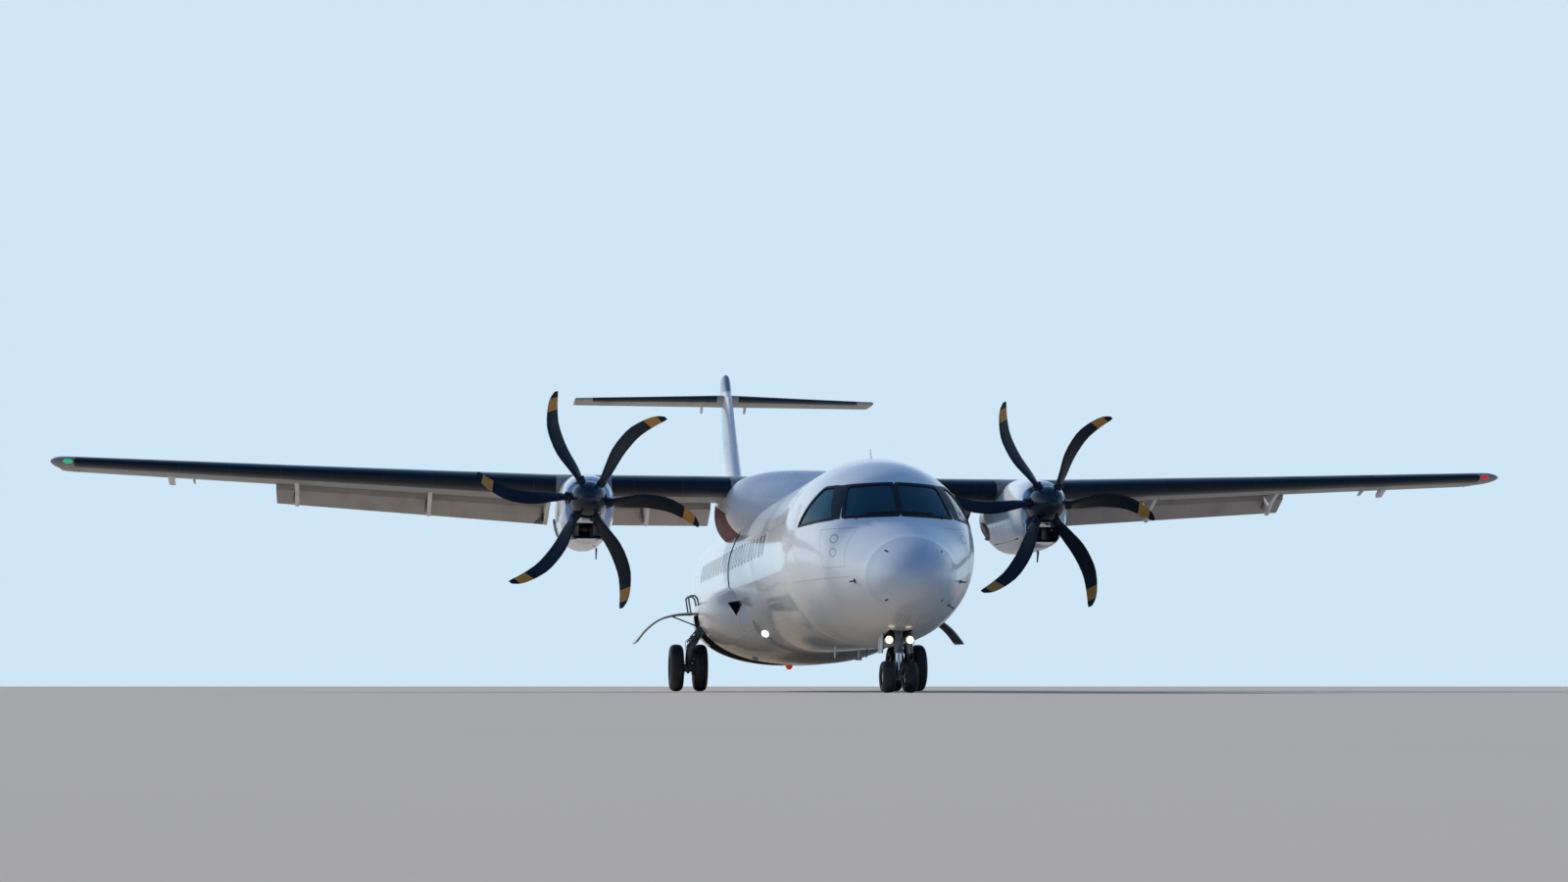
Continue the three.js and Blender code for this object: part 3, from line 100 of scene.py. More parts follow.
class Look:
    """A material in the making: its nodes and its Principled shader."""

    def __init__(self, name):
        self.material = bpy.data.materials.new(name)
        self.material.use_nodes = True
        self.material.node_tree.nodes.clear()
        self.place = self.node("ShaderNodeTexCoord", {}, {}, "Object")
        self.x, self.y, self.z = (
            self.node("ShaderNodeSeparateXYZ", {}, {"Vector": self.place}, axis) for axis in "XYZ"
        )
        self.aft = self.y - NOSE_Y
        self.out = abs(self.x)

    def node(self, kind, settings, sockets, output=0):
        """Adds a node, makes its settings, gives its sockets values or links, and returns an output."""
        made = self.material.node_tree.nodes.new(kind)
        for key, value in settings.items():
            setattr(made, key, value)
        for key, value in sockets.items():
            if isinstance(value, Socket):
                self.material.node_tree.links.new(value.output, made.inputs[key])
            elif made.inputs[key].type == "RGBA":
                made.inputs[key].default_value = (*value, 1)
            else:
                made.inputs[key].default_value = value
        return Socket(self, made.outputs[output] if made.outputs else None)

    def mix(self, share, first, second):
        settings = {"data_type": "RGBA", "clamp_factor": True}
        return self.node("ShaderNodeMix", settings, {"Factor": share, 6: first, 7: second}, 2)

    def noise(self, scale, detail=4, stretch=(1, 1, 1)):
        """Noise drawn out along the aircraft's axes, about 0.5 at its middle."""
        place = self.node("ShaderNodeMapping", {}, {"Vector": self.place, "Scale": stretch})
        return self.node("ShaderNodeTexNoise", {}, {"Vector": place, "Scale": scale, "Detail": detail})

    def bump(self, height, distance, strength=1):
        sockets = {"Height": height, "Distance": distance, "Strength": strength}
        return self.node("ShaderNodeBump", {}, sockets)

    def finish(self, **sockets):
        """The shader, its sockets in words such as base_color. Returns the finished material."""
        named = {key.replace("_", " ").title().replace("Ior", "IOR"): sockets[key] for key in sockets}
        shader = self.node("ShaderNodeBsdfPrincipled", {}, named)
        self.node("ShaderNodeOutputMaterial", {}, {"Surface": shader})
        return self.material


def clouded(name, grain, first, second, rough=0.4, rough_grain=None, **sockets):
    """A finish that drifts between two colours. A grain is the scale and the detail of its noise."""
    look = Look(name)
    if rough_grain:
        scale, detail, change = rough_grain
        rough = look.noise(scale, detail) * change + rough
    return look.finish(base_color=look.mix(look.noise(*grain), first, second), roughness=rough, **sockets)


def pick(*pieces):
    """Selects these objects alone, the first of them active."""
    bpy.ops.object.select_all(action="DESELECT")
    for piece in pieces:
        piece.select_set(True)
    bpy.context.view_layer.objects.active = pieces[0]


NOSE_Y = -13.583
bpy.ops.mesh.primitive_plane_add(size=3000)
floor = bpy.context.active_object
floor.name = "floor"
floor.data.materials.append(
    clouded("studio_floor", (0.6, 3), (0.62, 0.52, 0.42), (0.66, 0.555, 0.445), 0.9))

world = bpy.data.worlds.new("studio_sky")
bpy.context.scene.world = world
bpy.context.scene.view_settings.view_transform = "Standard"
world.use_nodes = True
sky_nodes, sky_links = world.node_tree.nodes, world.node_tree.links
sky_axes = sky_nodes.new("ShaderNodeSeparateXYZ")
sky_shade = sky_nodes.new("ShaderNodeValToRGB")
stops = sky_shade.color_ramp.elements
for i, (position, colour) in enumerate(SKY):
    stop = stops[i] if i < 2 else stops.new(position)
    stop.position = position
    stop.color = (*colour, 1)
behind = sky_nodes.new("ShaderNodeMath")
behind.operation = "MULTIPLY"
behind.inputs[1].default_value = -0.9
depth = sky_nodes.new("ShaderNodeMath")
depth.operation = "MAXIMUM"
for start, end in (
    (sky_nodes.new("ShaderNodeTexCoord").outputs["Generated"], sky_axes.inputs["Vector"]),
    (sky_axes.outputs["Y"], behind.inputs[0]),
    (sky_axes.outputs["Z"], depth.inputs[0]),
    (behind.outputs[0], depth.inputs[1]),
    (depth.outputs[0], sky_shade.inputs[0]),
    (sky_shade.outputs[0], sky_nodes["Background"].inputs["Color"]),
):
    sky_links.new(start, end)
sky_nodes["Background"].inputs["Strength"].default_value = 1.0

bpy.ops.object.light_add(type="SUN", rotation=SUNLIGHT.to_track_quat("-Z", "Y").to_euler())
sun = bpy.context.active_object
sun.data.energy = 3.4
sun.data.angle = math.radians(9)
sun.data.color = (1.0, 0.94, 0.86)
sun.visible_glossy = False

camera_data = bpy.data.cameras.new("camera")
camera = bpy.data.objects.new("camera", camera_data)
bpy.context.scene.collection.objects.link(camera)
bpy.context.scene.camera = camera
away = Vector((-math.sin(CAMERA_YAW), -math.cos(CAMERA_YAW), 0)) * CAMERA_DISTANCE
camera.location = Vector((CAMERA_AIM.x, CAMERA_AIM.y, CAMERA_HEIGHT)) + away
camera.rotation_euler = (CAMERA_AIM - camera.location).to_track_quat("-Z", "Y").to_euler()
camera_data.lens = CAMERA_LENS
camera_data.clip_end = 5000


# The fuselage: a pressure cabin of riveted sheet, round over most of its length and painted white.
# Each length of it is a grid of faces that is rolled round the lines of the drawing and closed.

# Station, height of the widest line, rise above it, depth below it and half width
FUSELAGE = (
    (0, 1.56, 0, 0, 0),
    (0.05, 1.56, 0.15, 0.15, 0.18),
    (0.2, 1.57, 0.28, 0.28, 0.34),
    (0.45, 1.585, 0.41, 0.4, 0.49),
    (0.85, 1.61, 0.54, 0.54, 0.64),
    (1.3, 1.7, 0.63, 0.77, 0.82),
    (1.66, 1.787, 0.713, 0.918, 0.965),
    (1.92, 1.85, 0.92, 1.02, 1.08),
    (2.5, 1.97, 1.23, 1.22, 1.23),
    (3.2, 2.06, 1.36, 1.38, 1.37),
    (4, 2.0875, 1.4325, 1.4325, 1.4325),
    (16.2, 2.0875, 1.4325, 1.4325, 1.4325),
    (17.2, 2.095, 1.425, 1.395, 1.4325),
    (18, 2.11, 1.41, 1.31, 1.43),
    (18.7, 2.14, 1.38, 1.21, 1.41),
    (19.8, 2.22, 1.3, 1.02, 1.35),
    (21.5, 2.4, 1.11, 0.75, 1.17),
    (23, 2.62, 0.87, 0.57, 0.91),
    (24.5, 2.85, 0.6, 0.39, 0.6),
    (25.6, 2.99, 0.36, 0.24, 0.33),
    (26.4, 3.08, 0.13, 0.11, 0.11),
)
CABIN_MIDDLE = 2.0875
CABIN_RADIUS = 1.4325
# The nose wheels' bay: two distances from the middle, two stations and its top
NOSE_BAY = (0, 0.17, 1.64, 2.33, 1.05)
SHEET_LENGTH = 2.032
RIVET_PITCH = 0.04
RIVET_ANGLE = 0.028
ROUND = 96
SEAM = 0.0003
UP = Vector((0, 0, 1))


def place(x, station, height):
    return Vector((x, station + NOSE_Y, height))


def slope(xs, values, k):
    """How steeply a smooth curve passes through one of its points, without overshooting the next."""
    if k in (0, len(xs) - 1):
        other = 1 if k == 0 else k - 1
        return (values[k] - values[other]) / (xs[k] - xs[other])
    before = (values[k] - values[k - 1]) / (xs[k] - xs[k - 1])
    after = (values[k + 1] - values[k]) / (xs[k + 1] - xs[k])
    return 0 if before * after <= 0 else 2 * before * after / (before + after)


@functools.lru_cache(maxsize=None)
def row_at(table, key):
    """The rest of a table's row at any value of its first column, on smooth curves."""
    xs = [math.sqrt(abs(row[0])) for row in table]
    x = math.sqrt(abs(key))
    k = max(i for i in range(len(xs) - 1) if i == 0 or xs[i] <= x)
    width = xs[k + 1] - xs[k]
    t = (x - xs[k]) / width
    row = []
    for values in list(zip(*table))[1:]:
        rise = values[k + 1] - values[k]
        start, end = (slope(xs, values, i) * width for i in (k, k + 1))
        row.append(values[k] + t * (start + t * (3 * rise - 2 * start - end + t * (start + end - 2 * rise))))
    return row


def oval(table, station, angle, grow=0, power=2, x=0):
    """A point of an upright section, at an angle from its left side round to its top."""
    middle, rise, depth, half = row_at(table, station)
    across, up = (math.copysign(abs(f(angle)) ** (2 / power), f(angle)) for f in (math.cos, math.sin))
    return place(x + (half + grow) * across, station, middle + ((rise if up > 0 else depth) + grow) * up)


edit = bpy.ops.mesh
OUTWARDS = (edit.normals_make_consistent, {"inside": False})


def worked(piece, *steps):
    """Takes steps in edit mode, each with every face selected."""
    pick(piece)
    bpy.ops.object.mode_set(mode="EDIT")
    for step, settings in steps:
        edit.select_all(action="SELECT")
        step(**settings)
    bpy.ops.object.mode_set(mode="OBJECT")
    return piece


def roll(along, around, surface):
    """A grid of faces rolled into a closed skin. The surface gives a point for two shares from 0 to 1."""
    bpy.ops.mesh.primitive_grid_add(x_subdivisions=along, y_subdivisions=around, size=1)
    piece = bpy.context.active_object
    for vertex in piece.data.vertices:
        vertex.co = surface(vertex.co.x + 0.5, vertex.co.y + 0.5)
    closed = (edit.remove_doubles, {"threshold": 0.00002}), (edit.fill_holes, {"sides": 0})
    return worked(piece, *closed, OUTWARDS)


def fuselage_skin(start, end, grow=0, along=24):
    """A closed length of the fuselage, its skin moved out by a distance, finer where it curves."""
    first, last = math.sqrt(start), math.sqrt(end)

    def surface(u, v):
        return oval(FUSELAGE, (first + u * (last - first)) ** 2, 2 * math.pi * v, grow)

    return roll(along, ROUND, surface)


def box(low, high, bevel=0.0, segments=2):
    """A block between two corners, its edges rounded."""
    bpy.ops.mesh.primitive_cube_add(size=1, location=(low + high) / 2, scale=high - low)
    piece = bpy.context.active_object
    bpy.ops.object.transform_apply(location=True, rotation=True, scale=True)
    if bevel:
        worked(piece, (edit.bevel, {"offset": bevel, "segments": segments, "affect": "EDGES"}))
    return piece


def plate(corners, push, rounding=0.0):
    """A flat outline with rounded corners, extruded by a distance."""
    bpy.ops.mesh.primitive_circle_add(vertices=len(corners), fill_type="NGON")
    piece = bpy.context.active_object
    for vertex, corner in zip(piece.data.vertices, corners):
        vertex.co = corner
    steps = [(edit.bevel, {"offset": rounding, "segments": 5, "affect": "VERTICES"})] if rounding else []
    steps.append((edit.extrude_region_move, {"TRANSFORM_OT_translate": {"value": push}}))
    return worked(piece, *steps, OUTWARDS)


def rod(start, end, radius, end_radius=None, sides=24, bevel=0.0):
    """A round bar between two points, tapered where it has a second radius."""
    start, end = Vector(start), Vector(end)
    along = end - start
    bpy.ops.mesh.primitive_cone_add(
        vertices=sides,
        radius1=radius,
        radius2=end_radius or radius,
        depth=along.length,
        location=(start + end) / 2,
        rotation=along.to_track_quat("Z", "Y").to_euler(),
    )
    piece = bpy.context.active_object
    bpy.ops.object.transform_apply(location=True, rotation=True, scale=True)
    if bevel:
        settings = {"offset": bevel, "segments": 2, "affect": "EDGES", "clamp_overlap": True}
        worked(piece, (edit.bevel, settings))
    return piece


def carve(piece, tool, operation="DIFFERENCE"):
    """Cuts a tool out of a piece, or keeps what they share, or joins the two. The tool is used up."""
    modifier = piece.modifiers.new("carve", "BOOLEAN")
    modifier.operation = operation
    modifier.object = tool
    modifier.solver = "EXACT"
    pick(piece)
    bpy.ops.object.modifier_apply(modifier=modifier.name)
    bpy.data.objects.remove(tool)
    return piece


def copied(piece):
    pick(piece)
    bpy.ops.object.duplicate()
    return bpy.context.active_object


def mirrored(piece):
    """A copy on the aircraft's other side."""
    twin = copied(piece)
    twin.data.transform(Matrix.Scale(-1, 4, (1, 0, 0)))
    return worked(twin, (edit.flip_normals, {}))


def on_right(piece):
    """The mirror image of a piece, in its place."""
    twin = mirrored(piece)
    bpy.data.objects.remove(piece)
    return twin


def with_mirrored(pieces):
    return pieces + [mirrored(piece) for piece in pieces]


def carve_both(piece, tool):
    """Cuts a tool and its mirror image out of a piece."""
    carve(piece, mirrored(tool))
    return carve(piece, tool)


def together(*pieces):
    """Several pieces joined as one object."""
    pick(*pieces)
    if len(pieces) > 1:
        bpy.ops.object.join()
    return bpy.context.active_object


def fit(piece, name, body, slot, material, *nodes):
    """Names a piece, smooths its shading, and fits it to its body with its finish."""
    pick(piece)
    piece.name = name
    bpy.ops.object.transform_apply(location=True, rotation=True, scale=True)
    bpy.ops.object.shade_smooth_by_angle(angle=math.radians(30))
    piece.data.materials.clear()
    piece.data.materials.append(material)
    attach(piece, body)
    if nodes:
        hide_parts(*nodes)


def fit_pair(piece, name, body, slot, material, *nodes):
    """Fits a piece on the left and its mirror image on the right. {} in a name is the side."""
    for one, side in ((piece, "left"), (mirrored(piece), "right")):
        names = (node.format(side) for node in nodes)
        fit(one, name.format(side), body.format(side), slot, material, *names)


# Gloss paint: faint joints of the sheets at stations and along the sides, rows of rivets beside them,
# soft grime that streams aft, heavier below, painted shade that darkens the paint towards the bottom,
# painted shade that makes hollows near black inside, and a skin that isn't perfectly even.
def inside_box(look, x0, x1, s0, s1, z0, z1):
    """1 inside a block on both sides of the aircraft and 0 outside it."""
    return ((look.out > x0) * (look.out < x1) * (look.aft > s0) * (look.aft < s1)
            * (look.z > z0) * (look.z < z1))


def line_mask(distance, width=0.006, core=0.002):
    """1 on a thin line and 0 beside it, from the distance to the line."""
    return 1 - distance.ease(core, width)


def nose_lines(look):
    """The joints and panels of the nose, with two round static ports on each side."""
    aft, out = look.aft, look.out
    to_bay = abs(out - 0.13 - (aft - 0.9) * 0.06).least(out).most((look.z - 1.3) * 9).most(aft - 1.64)
    side = abs(look.z - 1.61).most(0.8 - out).most(aft - 3.4)
    up = look.z - 2.04
    across = aft - 1.77 - up * 0.45
    panel = abs((abs(across) - 0.27).most(abs(up) - 0.28)).most(0.55 - out)
    port = abs(((across + 0.02) ** 2 + (abs(up - 0.03) - 0.1) ** 2) ** 0.5 - 0.058) - 0.006
    return to_bay.least(side).least(panel).least(port.most(0.55 - out))


def hollow(look, x0, x1, s0, s1, top, slack=0.001):
    """1 in a hollow of the underside, on both sides of the aircraft, and just past its faces."""
    return inside_box(look, x0 - slack, x1 + slack, s0 - slack, s1 + slack, 0.3, top + slack)


def nose_bay(look):
    return hollow(look, *NOSE_BAY)


def gloss_paint(name, colour, dark, grime=(0.36, 0.33, 0.29), lines=None):
    """White paint with its joints, rivets and grime, painted shade towards the bottom, and near-black painted
    shade in hollows.
    """
    look = Look(name)
    angle = (look.z - CABIN_MIDDLE).math("ARCTAN2", look.x)
    ring_joint = look.aft.apart(SHEET_LENGTH).most(2.4 - look.aft)
    long_joint = ((angle - 0.2).apart(math.pi / 6) * 1.43).most(4.03 - look.aft)
    joint = ring_joint.least(long_joint)
    beside = abs(joint - 0.022) < 0.006
    rivets = beside * (look.aft.apart(RIVET_PITCH) < 0.006) * (angle.apart(RIVET_ANGLE) < 0.0045)
    if lines:
        joint = joint.least(lines(look))
    line = line_mask(joint, core=0.0025)
    streaks = look.noise(2.2, 6, (1, 0.09, 1)).ease(0.5, 0.78)
    blotches = look.noise(0.7, 5).ease(0.42, 0.7)
    # Painted shade: low darkens the paint towards the bottom in the grime's colour, added to the streaks and
    # blotches.
    low = 1 - look.z.ease(0.5, 2.1)
    dirt = (streaks * 0.22 + blotches * 0.1) * (low * 0.8 + 0.2) + low * 0.7
    shade = look.mix(dirt, colour, grime)
    shade = look.mix(line * 0.5, shade, (0.13, 0.14, 0.15))
    height = look.noise(1.3, 2) * 0.35 - line * 0.9 + rivets * 0.25
    # Painted shade: the paint inside the hollows is near black.
    return look.finish(
        base_color=look.mix(dark(look), shade, (0.03, 0.03, 0.03)),
        roughness=dirt * 0.5 + 0.2,
        coat_weight=0.6,
        coat_roughness=0.06,
        normal=look.bump(height, 0.0012, 0.35),
    )


# The nose wheels' bay is painted near black inside: painted shade.
white_paint = gloss_paint("white_gloss_paint", (0.76, 0.78, 0.8), nose_bay, lines=nose_lines)


# The radome: a nose cap of glass fibre that the weather radar looks through, painted a duller grey.
# Its rim shows as a thin joint, with the short ends of the lightning strips round it.
RADOME_END = 0.85

look = Look("radome_paint")
pits = look.noise(70, 2).ease(0.68, 0.74) * look.y.ease(-13.1, -13.5)
shade = look.mix(look.noise(1.4, 4), (0.5, 0.55, 0.61), (0.56, 0.6, 0.66))
radome_paint = look.finish(
    base_color=look.mix(pits * 0.35, shade, (0.3, 0.3, 0.3)),
    roughness=look.noise(3, 3) * 0.12 + 0.3,
    coat_weight=0.25,
    normal=look.bump(look.noise(2, 2), 0.0015, 0.25),
)
fit(fuselage_skin(0, RADOME_END - SEAM), "radome_cap", "airframe", "radome_composite", radome_paint, "radome")

black_rubber = clouded(
    "black_rubber", (9, 5), (0.006, 0.008, 0.011), (0.018, 0.021, 0.025), 0.35, (5, 3, 0.25),
    specular_ior_level=0.3)

strips = []
for degrees in (46, 134, 226, 314):
    angle = math.radians(degrees)
    outer, inner = (oval(FUSELAGE, s, angle, 0.003) for s in (0.67, 0.57))
    across = Vector((-math.sin(angle), 0, math.cos(angle))) * 0.011
    corners = [outer - across, inner - across, inner + across, outer + across]
    strips.append(plate(corners, Vector((0, -0.005, 0))))
fit(together(*strips), "radome_strips", "airframe", "radome_composite", black_rubber)


# The cockpit: a riveted shell with six panes of thick glass set in black frames.
# The shell is hollow above its floor. Each frame is a strip of the skin round its pane, a little proud.
COCKPIT_END = 4.0
CABIN_FLOOR = 1.6

# Corners of the panes on the left: distance from the middle and height in front, station and height at
# the side. A slanted post stands in the side pane.
FRONT_PANE = ((0.03, 2.515), (0.03, 2.995), (0.655, 2.97), (0.79, 2.49))
SIDE_PANE = ((2.045, 2.48), (2.59, 2.975), (2.86, 2.975), (3.0, 2.43))
POST = ((1.95, 2.465), (2.16, 2.72), (2.45, 2.995), (2.61, 2.995), (2.33, 2.72), (2.06, 2.455))
PANE_ROUNDING = 0.045
PANE_FRAME = 0.0295


def spread(corners, distance):
    """An outline moved outwards by a distance."""
    middle = [sum(values) / len(corners) for values in zip(*corners)]
    return [[a + math.copysign(1, a - m) * distance for a, m in zip(corner, middle)] for corner in corners]


def pane_tool(front, corners, rounding=PANE_ROUNDING):
    """A prism through the skin on the outline of a pane."""
    if front:
        return plate([place(x, 1.5, z) for x, z in corners], Vector((0, 1.15, 0)), rounding)
    return plate([place(0.48, s, z) for s, z in corners], Vector((1.02, 0, 0)), rounding)


def skin_patch(tool, outside, inside):
    """The nose's skin between two distances from its surface, inside a tool."""
    layer = carve(fuselage_skin(1.25, 3.9, outside, 30), fuselage_skin(1.1, 4.0, inside, 30))
    return carve(layer, tool, "INTERSECT")


shell = fuselage_skin(RADOME_END, COCKPIT_END - SEAM, 0, 44)
above_floor = box(Vector((-1.6, -13, CABIN_FLOOR)), Vector((1.6, -9, 3.7)))
carve(shell, carve(fuselage_skin(1.2, 3.9, -0.06, 30), above_floor, "INTERSECT"))
_, half, s0, s1, top = NOSE_BAY
carve(shell, box(place(-half, s0, 0), place(half, s1, top)))
glass_panes, frames = [], []
for front, corners in ((True, FRONT_PANE), (False, SIDE_PANE)):
    carve_both(shell, pane_tool(front, corners))
    pane = skin_patch(pane_tool(front, corners), -0.012, -0.04)
    rim = skin_patch(pane_tool(front, spread(corners, PANE_FRAME)), 0.005, -0.03)
    carve(rim, pane_tool(front, spread(corners, -0.01)))
    glass_panes += with_mirrored([pane])
    frames += with_mirrored([rim])
fit(shell, "cockpit_skin", "airframe", "fuselage_paint", white_paint, "cockpit_shell")

glass = clouded(
    "cockpit_glass", (1.5, 3), (0.008, 0.05, 0.075), (0.018, 0.075, 0.105), 0.05, alpha=0.86,
    specular_ior_level=0.45)
fit(together(*glass_panes), "cockpit_panes", "airframe", "cockpit_glass", glass, "cockpit_glazing")
post = skin_patch(pane_tool(False, POST, 0), 0.0045, -0.03)
fit(together(*frames, post, mirrored(post)), "pane_frames", "airframe", "cockpit_glass", black_rubber)


# The flight deck: a floor, an instrument panel under a glareshield, a pedestal and two pilots' seats.
# All of it is moulded plastic and cloth in dark greys, seen only as shapes behind the glass.
look = Look("cabin_plastic")
cabin_plastic = look.finish(
    base_color=look.mix(look.noise(6, 4), (0.035, 0.038, 0.042), (0.055, 0.058, 0.062)),
    roughness=0.75,
    normal=look.bump(look.noise(160, 2), 0.0006, 0.4),
)
# Across, station and height of the low and the high corner, bevel
DECK = (
    (-0.9, 1.95, 1.6003, 0.9, 3.8997, 1.64, 0),
    (-0.72, 2.06, 1.64, 0.72, 2.16, 2.42, 0.02),
    (-0.72, 2.0, 2.4, 0.72, 2.3, 2.44, 0.015),
    (-0.13, 2.14, 1.64, 0.13, 2.64, 2.12, 0.03),
)
# The same for the parts of the left seat
SEAT = (
    (0.36, 2.85, 1.64, 0.54, 3.15, 1.98, 0.02),
    (0.21, 2.74, 1.96, 0.69, 3.22, 2.08, 0.045),
    (0.21, 3.14, 2.05, 0.69, 3.27, 2.62, 0.045),
    (0.32, 3.17, 2.6, 0.58, 3.25, 2.8, 0.03),
)


def boxes(rows, segments=2):
    """Blocks from a table of two corners and a bevel."""
    return [box(place(*row[:3]), place(*row[3:6]), row[6], segments) for row in rows]


seats = with_mirrored(boxes(SEAT, 3))
fit(together(*boxes(DECK), *seats), "flight_deck_fittings", "airframe", "cabin_plastic", cabin_plastic,
    "flight_deck")


# The cabin: three lengths of fuselage and a hollow tail cone, with a baggage door and the steps' door
# on the left and a service door on the right. The openings of the baggage door and the steps' door lead to
# rooms inside.
# First and last station, sill and top of each door
CARGO_DOOR = (4.2, 5.475, 1.14, 2.67)
PASSENGER_DOOR = (17.8, 18.62, 1.14, 2.89)
SERVICE_DOOR = (17.9, 18.51, 1.14, 2.36)
DOOR_WALL = 0.09
DOOR_GAP = 0.008
# Each hinge's stations, distance from the middle and height
CARGO_HINGE = ((4.42, 5.13), 1.332, 2.694)
PASSENGER_HINGE = ((17.95, 18.33), 1.042, 1.106)
HINGE_RADIUS = 0.015


def doorway(door, gap):
    """The space that a door covers, through the skin on the left."""
    s0, s1, z0, z1 = door
    corners = ((s0, z0, 1, 1), (s0, z1, 1, -1), (s1, z1, -1, -1), (s1, z0, -1, 1))
    outline = [place(0.3, s + a * gap, z + b * gap) for s, z, a, b in corners]
    return plate(outline, Vector((1.3, 0, 0)), 0.11 - gap)


def door_room(door):
    """The room behind a door, from its sill to the ceiling."""
    s0, s1, z0, _ = door
    inside = fuselage_skin(s0 - 0.06, s1 + 0.06, -DOOR_WALL, 8)
    return carve(inside, box(place(-1.6, s0 - 0.2, z0), place(1.6, s1 + 0.2, 3.15)), "INTERSECT")


def door_panel(door, gap):
    """A piece of the skin, as thick as the wall, inside a doorway."""
    s0, s1, _, _ = door
    panel = fuselage_skin(s0 - 0.1, s1 + 0.1, 0, 12)
    carve(panel, fuselage_skin(s0 - 0.15, s1 + 0.15, -DOOR_WALL, 12))
    return carve(panel, doorway(door, gap), "INTERSECT")


def knuckles(hinge, moving, *leaves):
    """A hinge's knuckles on its door, or the outer ones on the fuselage, each with its leaves.
    A leaf is given by the distance and the height of two of its corners."""
    starts, x, z = hinge
    if moving:
        stretches = [(start + 0.0005, start + 0.1195) for start in starts]
    else:
        stretches = [(s, s + 0.06) for start in starts for s in (start - 0.06, start + 0.12)]
    parts = []
    for s0, s1 in stretches:
        parts.append(rod(place(x, s0, z), place(x, s1, z), HINGE_RADIUS))
        parts += [box(place(x0, s0, z0), place(x1, s1, z1), 0.002) for x0, z0, x1, z1 in leaves]
    return parts


front_skin = fuselage_skin(COCKPIT_END, 9.0 - SEAM, 0, 20)
carve(front_skin, door_room(CARGO_DOOR))
carve(front_skin, doorway(CARGO_DOOR, 0))
front_skin = together(front_skin, *knuckles(CARGO_HINGE, False, (1.27, 2.684, 1.332, 2.704)))
fit(front_skin, "front_fuselage_skin", "airframe", "fuselage_paint", white_paint, "fuselage_front")

cargo_door = together(
    door_panel(CARGO_DOOR, DOOR_GAP), *knuckles(CARGO_HINGE, True, (1.322, 2.6, 1.342, 2.694)))
fit(cargo_door, "cargo_door_panel", "cargo_door", "fuselage_paint", white_paint, "cargo_door")

fit(fuselage_skin(9.0, 16.2 - SEAM), "centre_fuselage_skin", "airframe", "fuselage_paint", white_paint,
    "fuselage_centre")

rear_skin = fuselage_skin(16.2, 19.8 - SEAM)
carve(rear_skin, door_room(PASSENGER_DOOR))
carve(rear_skin, doorway(PASSENGER_DOOR, 0))
service_hole = on_right(doorway(SERVICE_DOOR, 0))
carve(rear_skin, carve(service_hole, fuselage_skin(17.75, 18.66, -DOOR_WALL - SEAM, 12)))
rear_skin = together(rear_skin, *knuckles(PASSENGER_HINGE, False, (0.76, 1.092, 1.042, 1.12)))
fit(rear_skin, "rear_fuselage_skin", "airframe", "fuselage_paint", white_paint, "fuselage_rear")

fit(on_right(door_panel(SERVICE_DOOR, 0.004)), "service_door_panel", "airframe", "fuselage_paint",
    white_paint, "service_door")

arms = knuckles(PASSENGER_HINGE, True, (1.03, 1.1, 1.054, 1.22), (0.93, 1.16, 1.054, 1.22))
fit(together(door_panel(PASSENGER_DOOR, DOOR_GAP), *arms), "passenger_door_panel", "passenger_door",
    "fuselage_paint", white_paint, "passenger_door")

# Six treads on the steps' door, which are level when it is open at 115 degrees
TREAD = 0.22
TREAD_PITCH = 0.24
TREAD_LEAN = math.radians(25)


def inner_side(z):
    """How far the wall's inner face is from the middle at a height, beside the steps' door."""
    middle, rise, depth, half = row_at(FUSELAGE, 18.21)
    tall = (rise if z > middle else depth) - DOOR_WALL
    return (half - DOOR_WALL) * math.sqrt(1 - ((z - middle) / tall) ** 2)


outline = []
for i in range(6):
    z = 1.26 + TREAD_PITCH * i
    x = inner_side(z)
    outline += [(x, z), (x - TREAD * math.sin(TREAD_LEAN), z + TREAD * math.cos(TREAD_LEAN))]
outline += [(inner_side(z) + 0.02, z) for z in (2.7, 2.5, 2.3, 2.1, 1.9, 1.7, 1.5, 1.26)]
steps = plate([place(x, 17.93, z) for x, z in outline], Vector((0, 0.56, 0)))
fit(steps, "door_steps", "passenger_door", "cabin_plastic", cabin_plastic)

tail_skin = carve(fuselage_skin(19.8, 26.4, 0, 36), fuselage_skin(19.6, 24.6, -DOOR_WALL, 20))
fit(tail_skin, "tail_cone_skin", "airframe", "fuselage_paint", white_paint, "tail_cone")


# The fairings: glass fibre shells that blend the wing's root and the landing gear into the fuselage.
# Each is a soft-cornered skin with the fuselage and the wing cut out of it, and wells for the wheels.
ROOT_FAIRING = (
    (10.1, 3.3, 0.19, 0.4, 0.52),
    (10.7, 3.35, 0.43, 0.56, 1.05),
    (11.35, 3.4, 0.61, 0.76, 1.45),
    (12.4, 3.4, 0.64, 0.8, 1.5),
    (13.5, 3.38, 0.56, 0.8, 1.48),
    (14.4, 3.32, 0.35, 0.76, 1.3),
    (15.6, 3.25, 0.2, 0.5, 0.65),
)
BELLY_FAIRING = (
    (9.9, 1.32, 0.35, 0.65, 1.17),
    (10.3, 1.37, 0.48, 0.77, 1.45),
    (10.9, 1.42, 0.58, 0.89, 1.73),
    (11.6, 1.44, 0.62, 0.95, 1.88),
    (12.6, 1.44, 0.62, 0.96, 1.92),
    (13.7, 1.43, 0.61, 0.95, 1.88),
    (14.6, 1.4, 0.54, 0.88, 1.7),
    (15.5, 1.35, 0.42, 0.76, 1.4),
    (16.1, 1.32, 0.34, 0.64, 1.16),
)
# Two distances from the middle, two stations and the top of the left well and of the slot for its leg
WHEEL_WELL = (0.28, 1.6, 11.85, 13.45, 1.25)
LEG_SLOT = (1.5, 2.1, 12.15, 13.05, 1.395)
# The slanting corner between them, as distance from the middle and station, and its top
SLANT = ((1.5, 11.85), (1.6, 11.85), (2.1, 12.15), (2.1, 12.4), (1.5, 12.4))
SLANT_TOP = 1.17
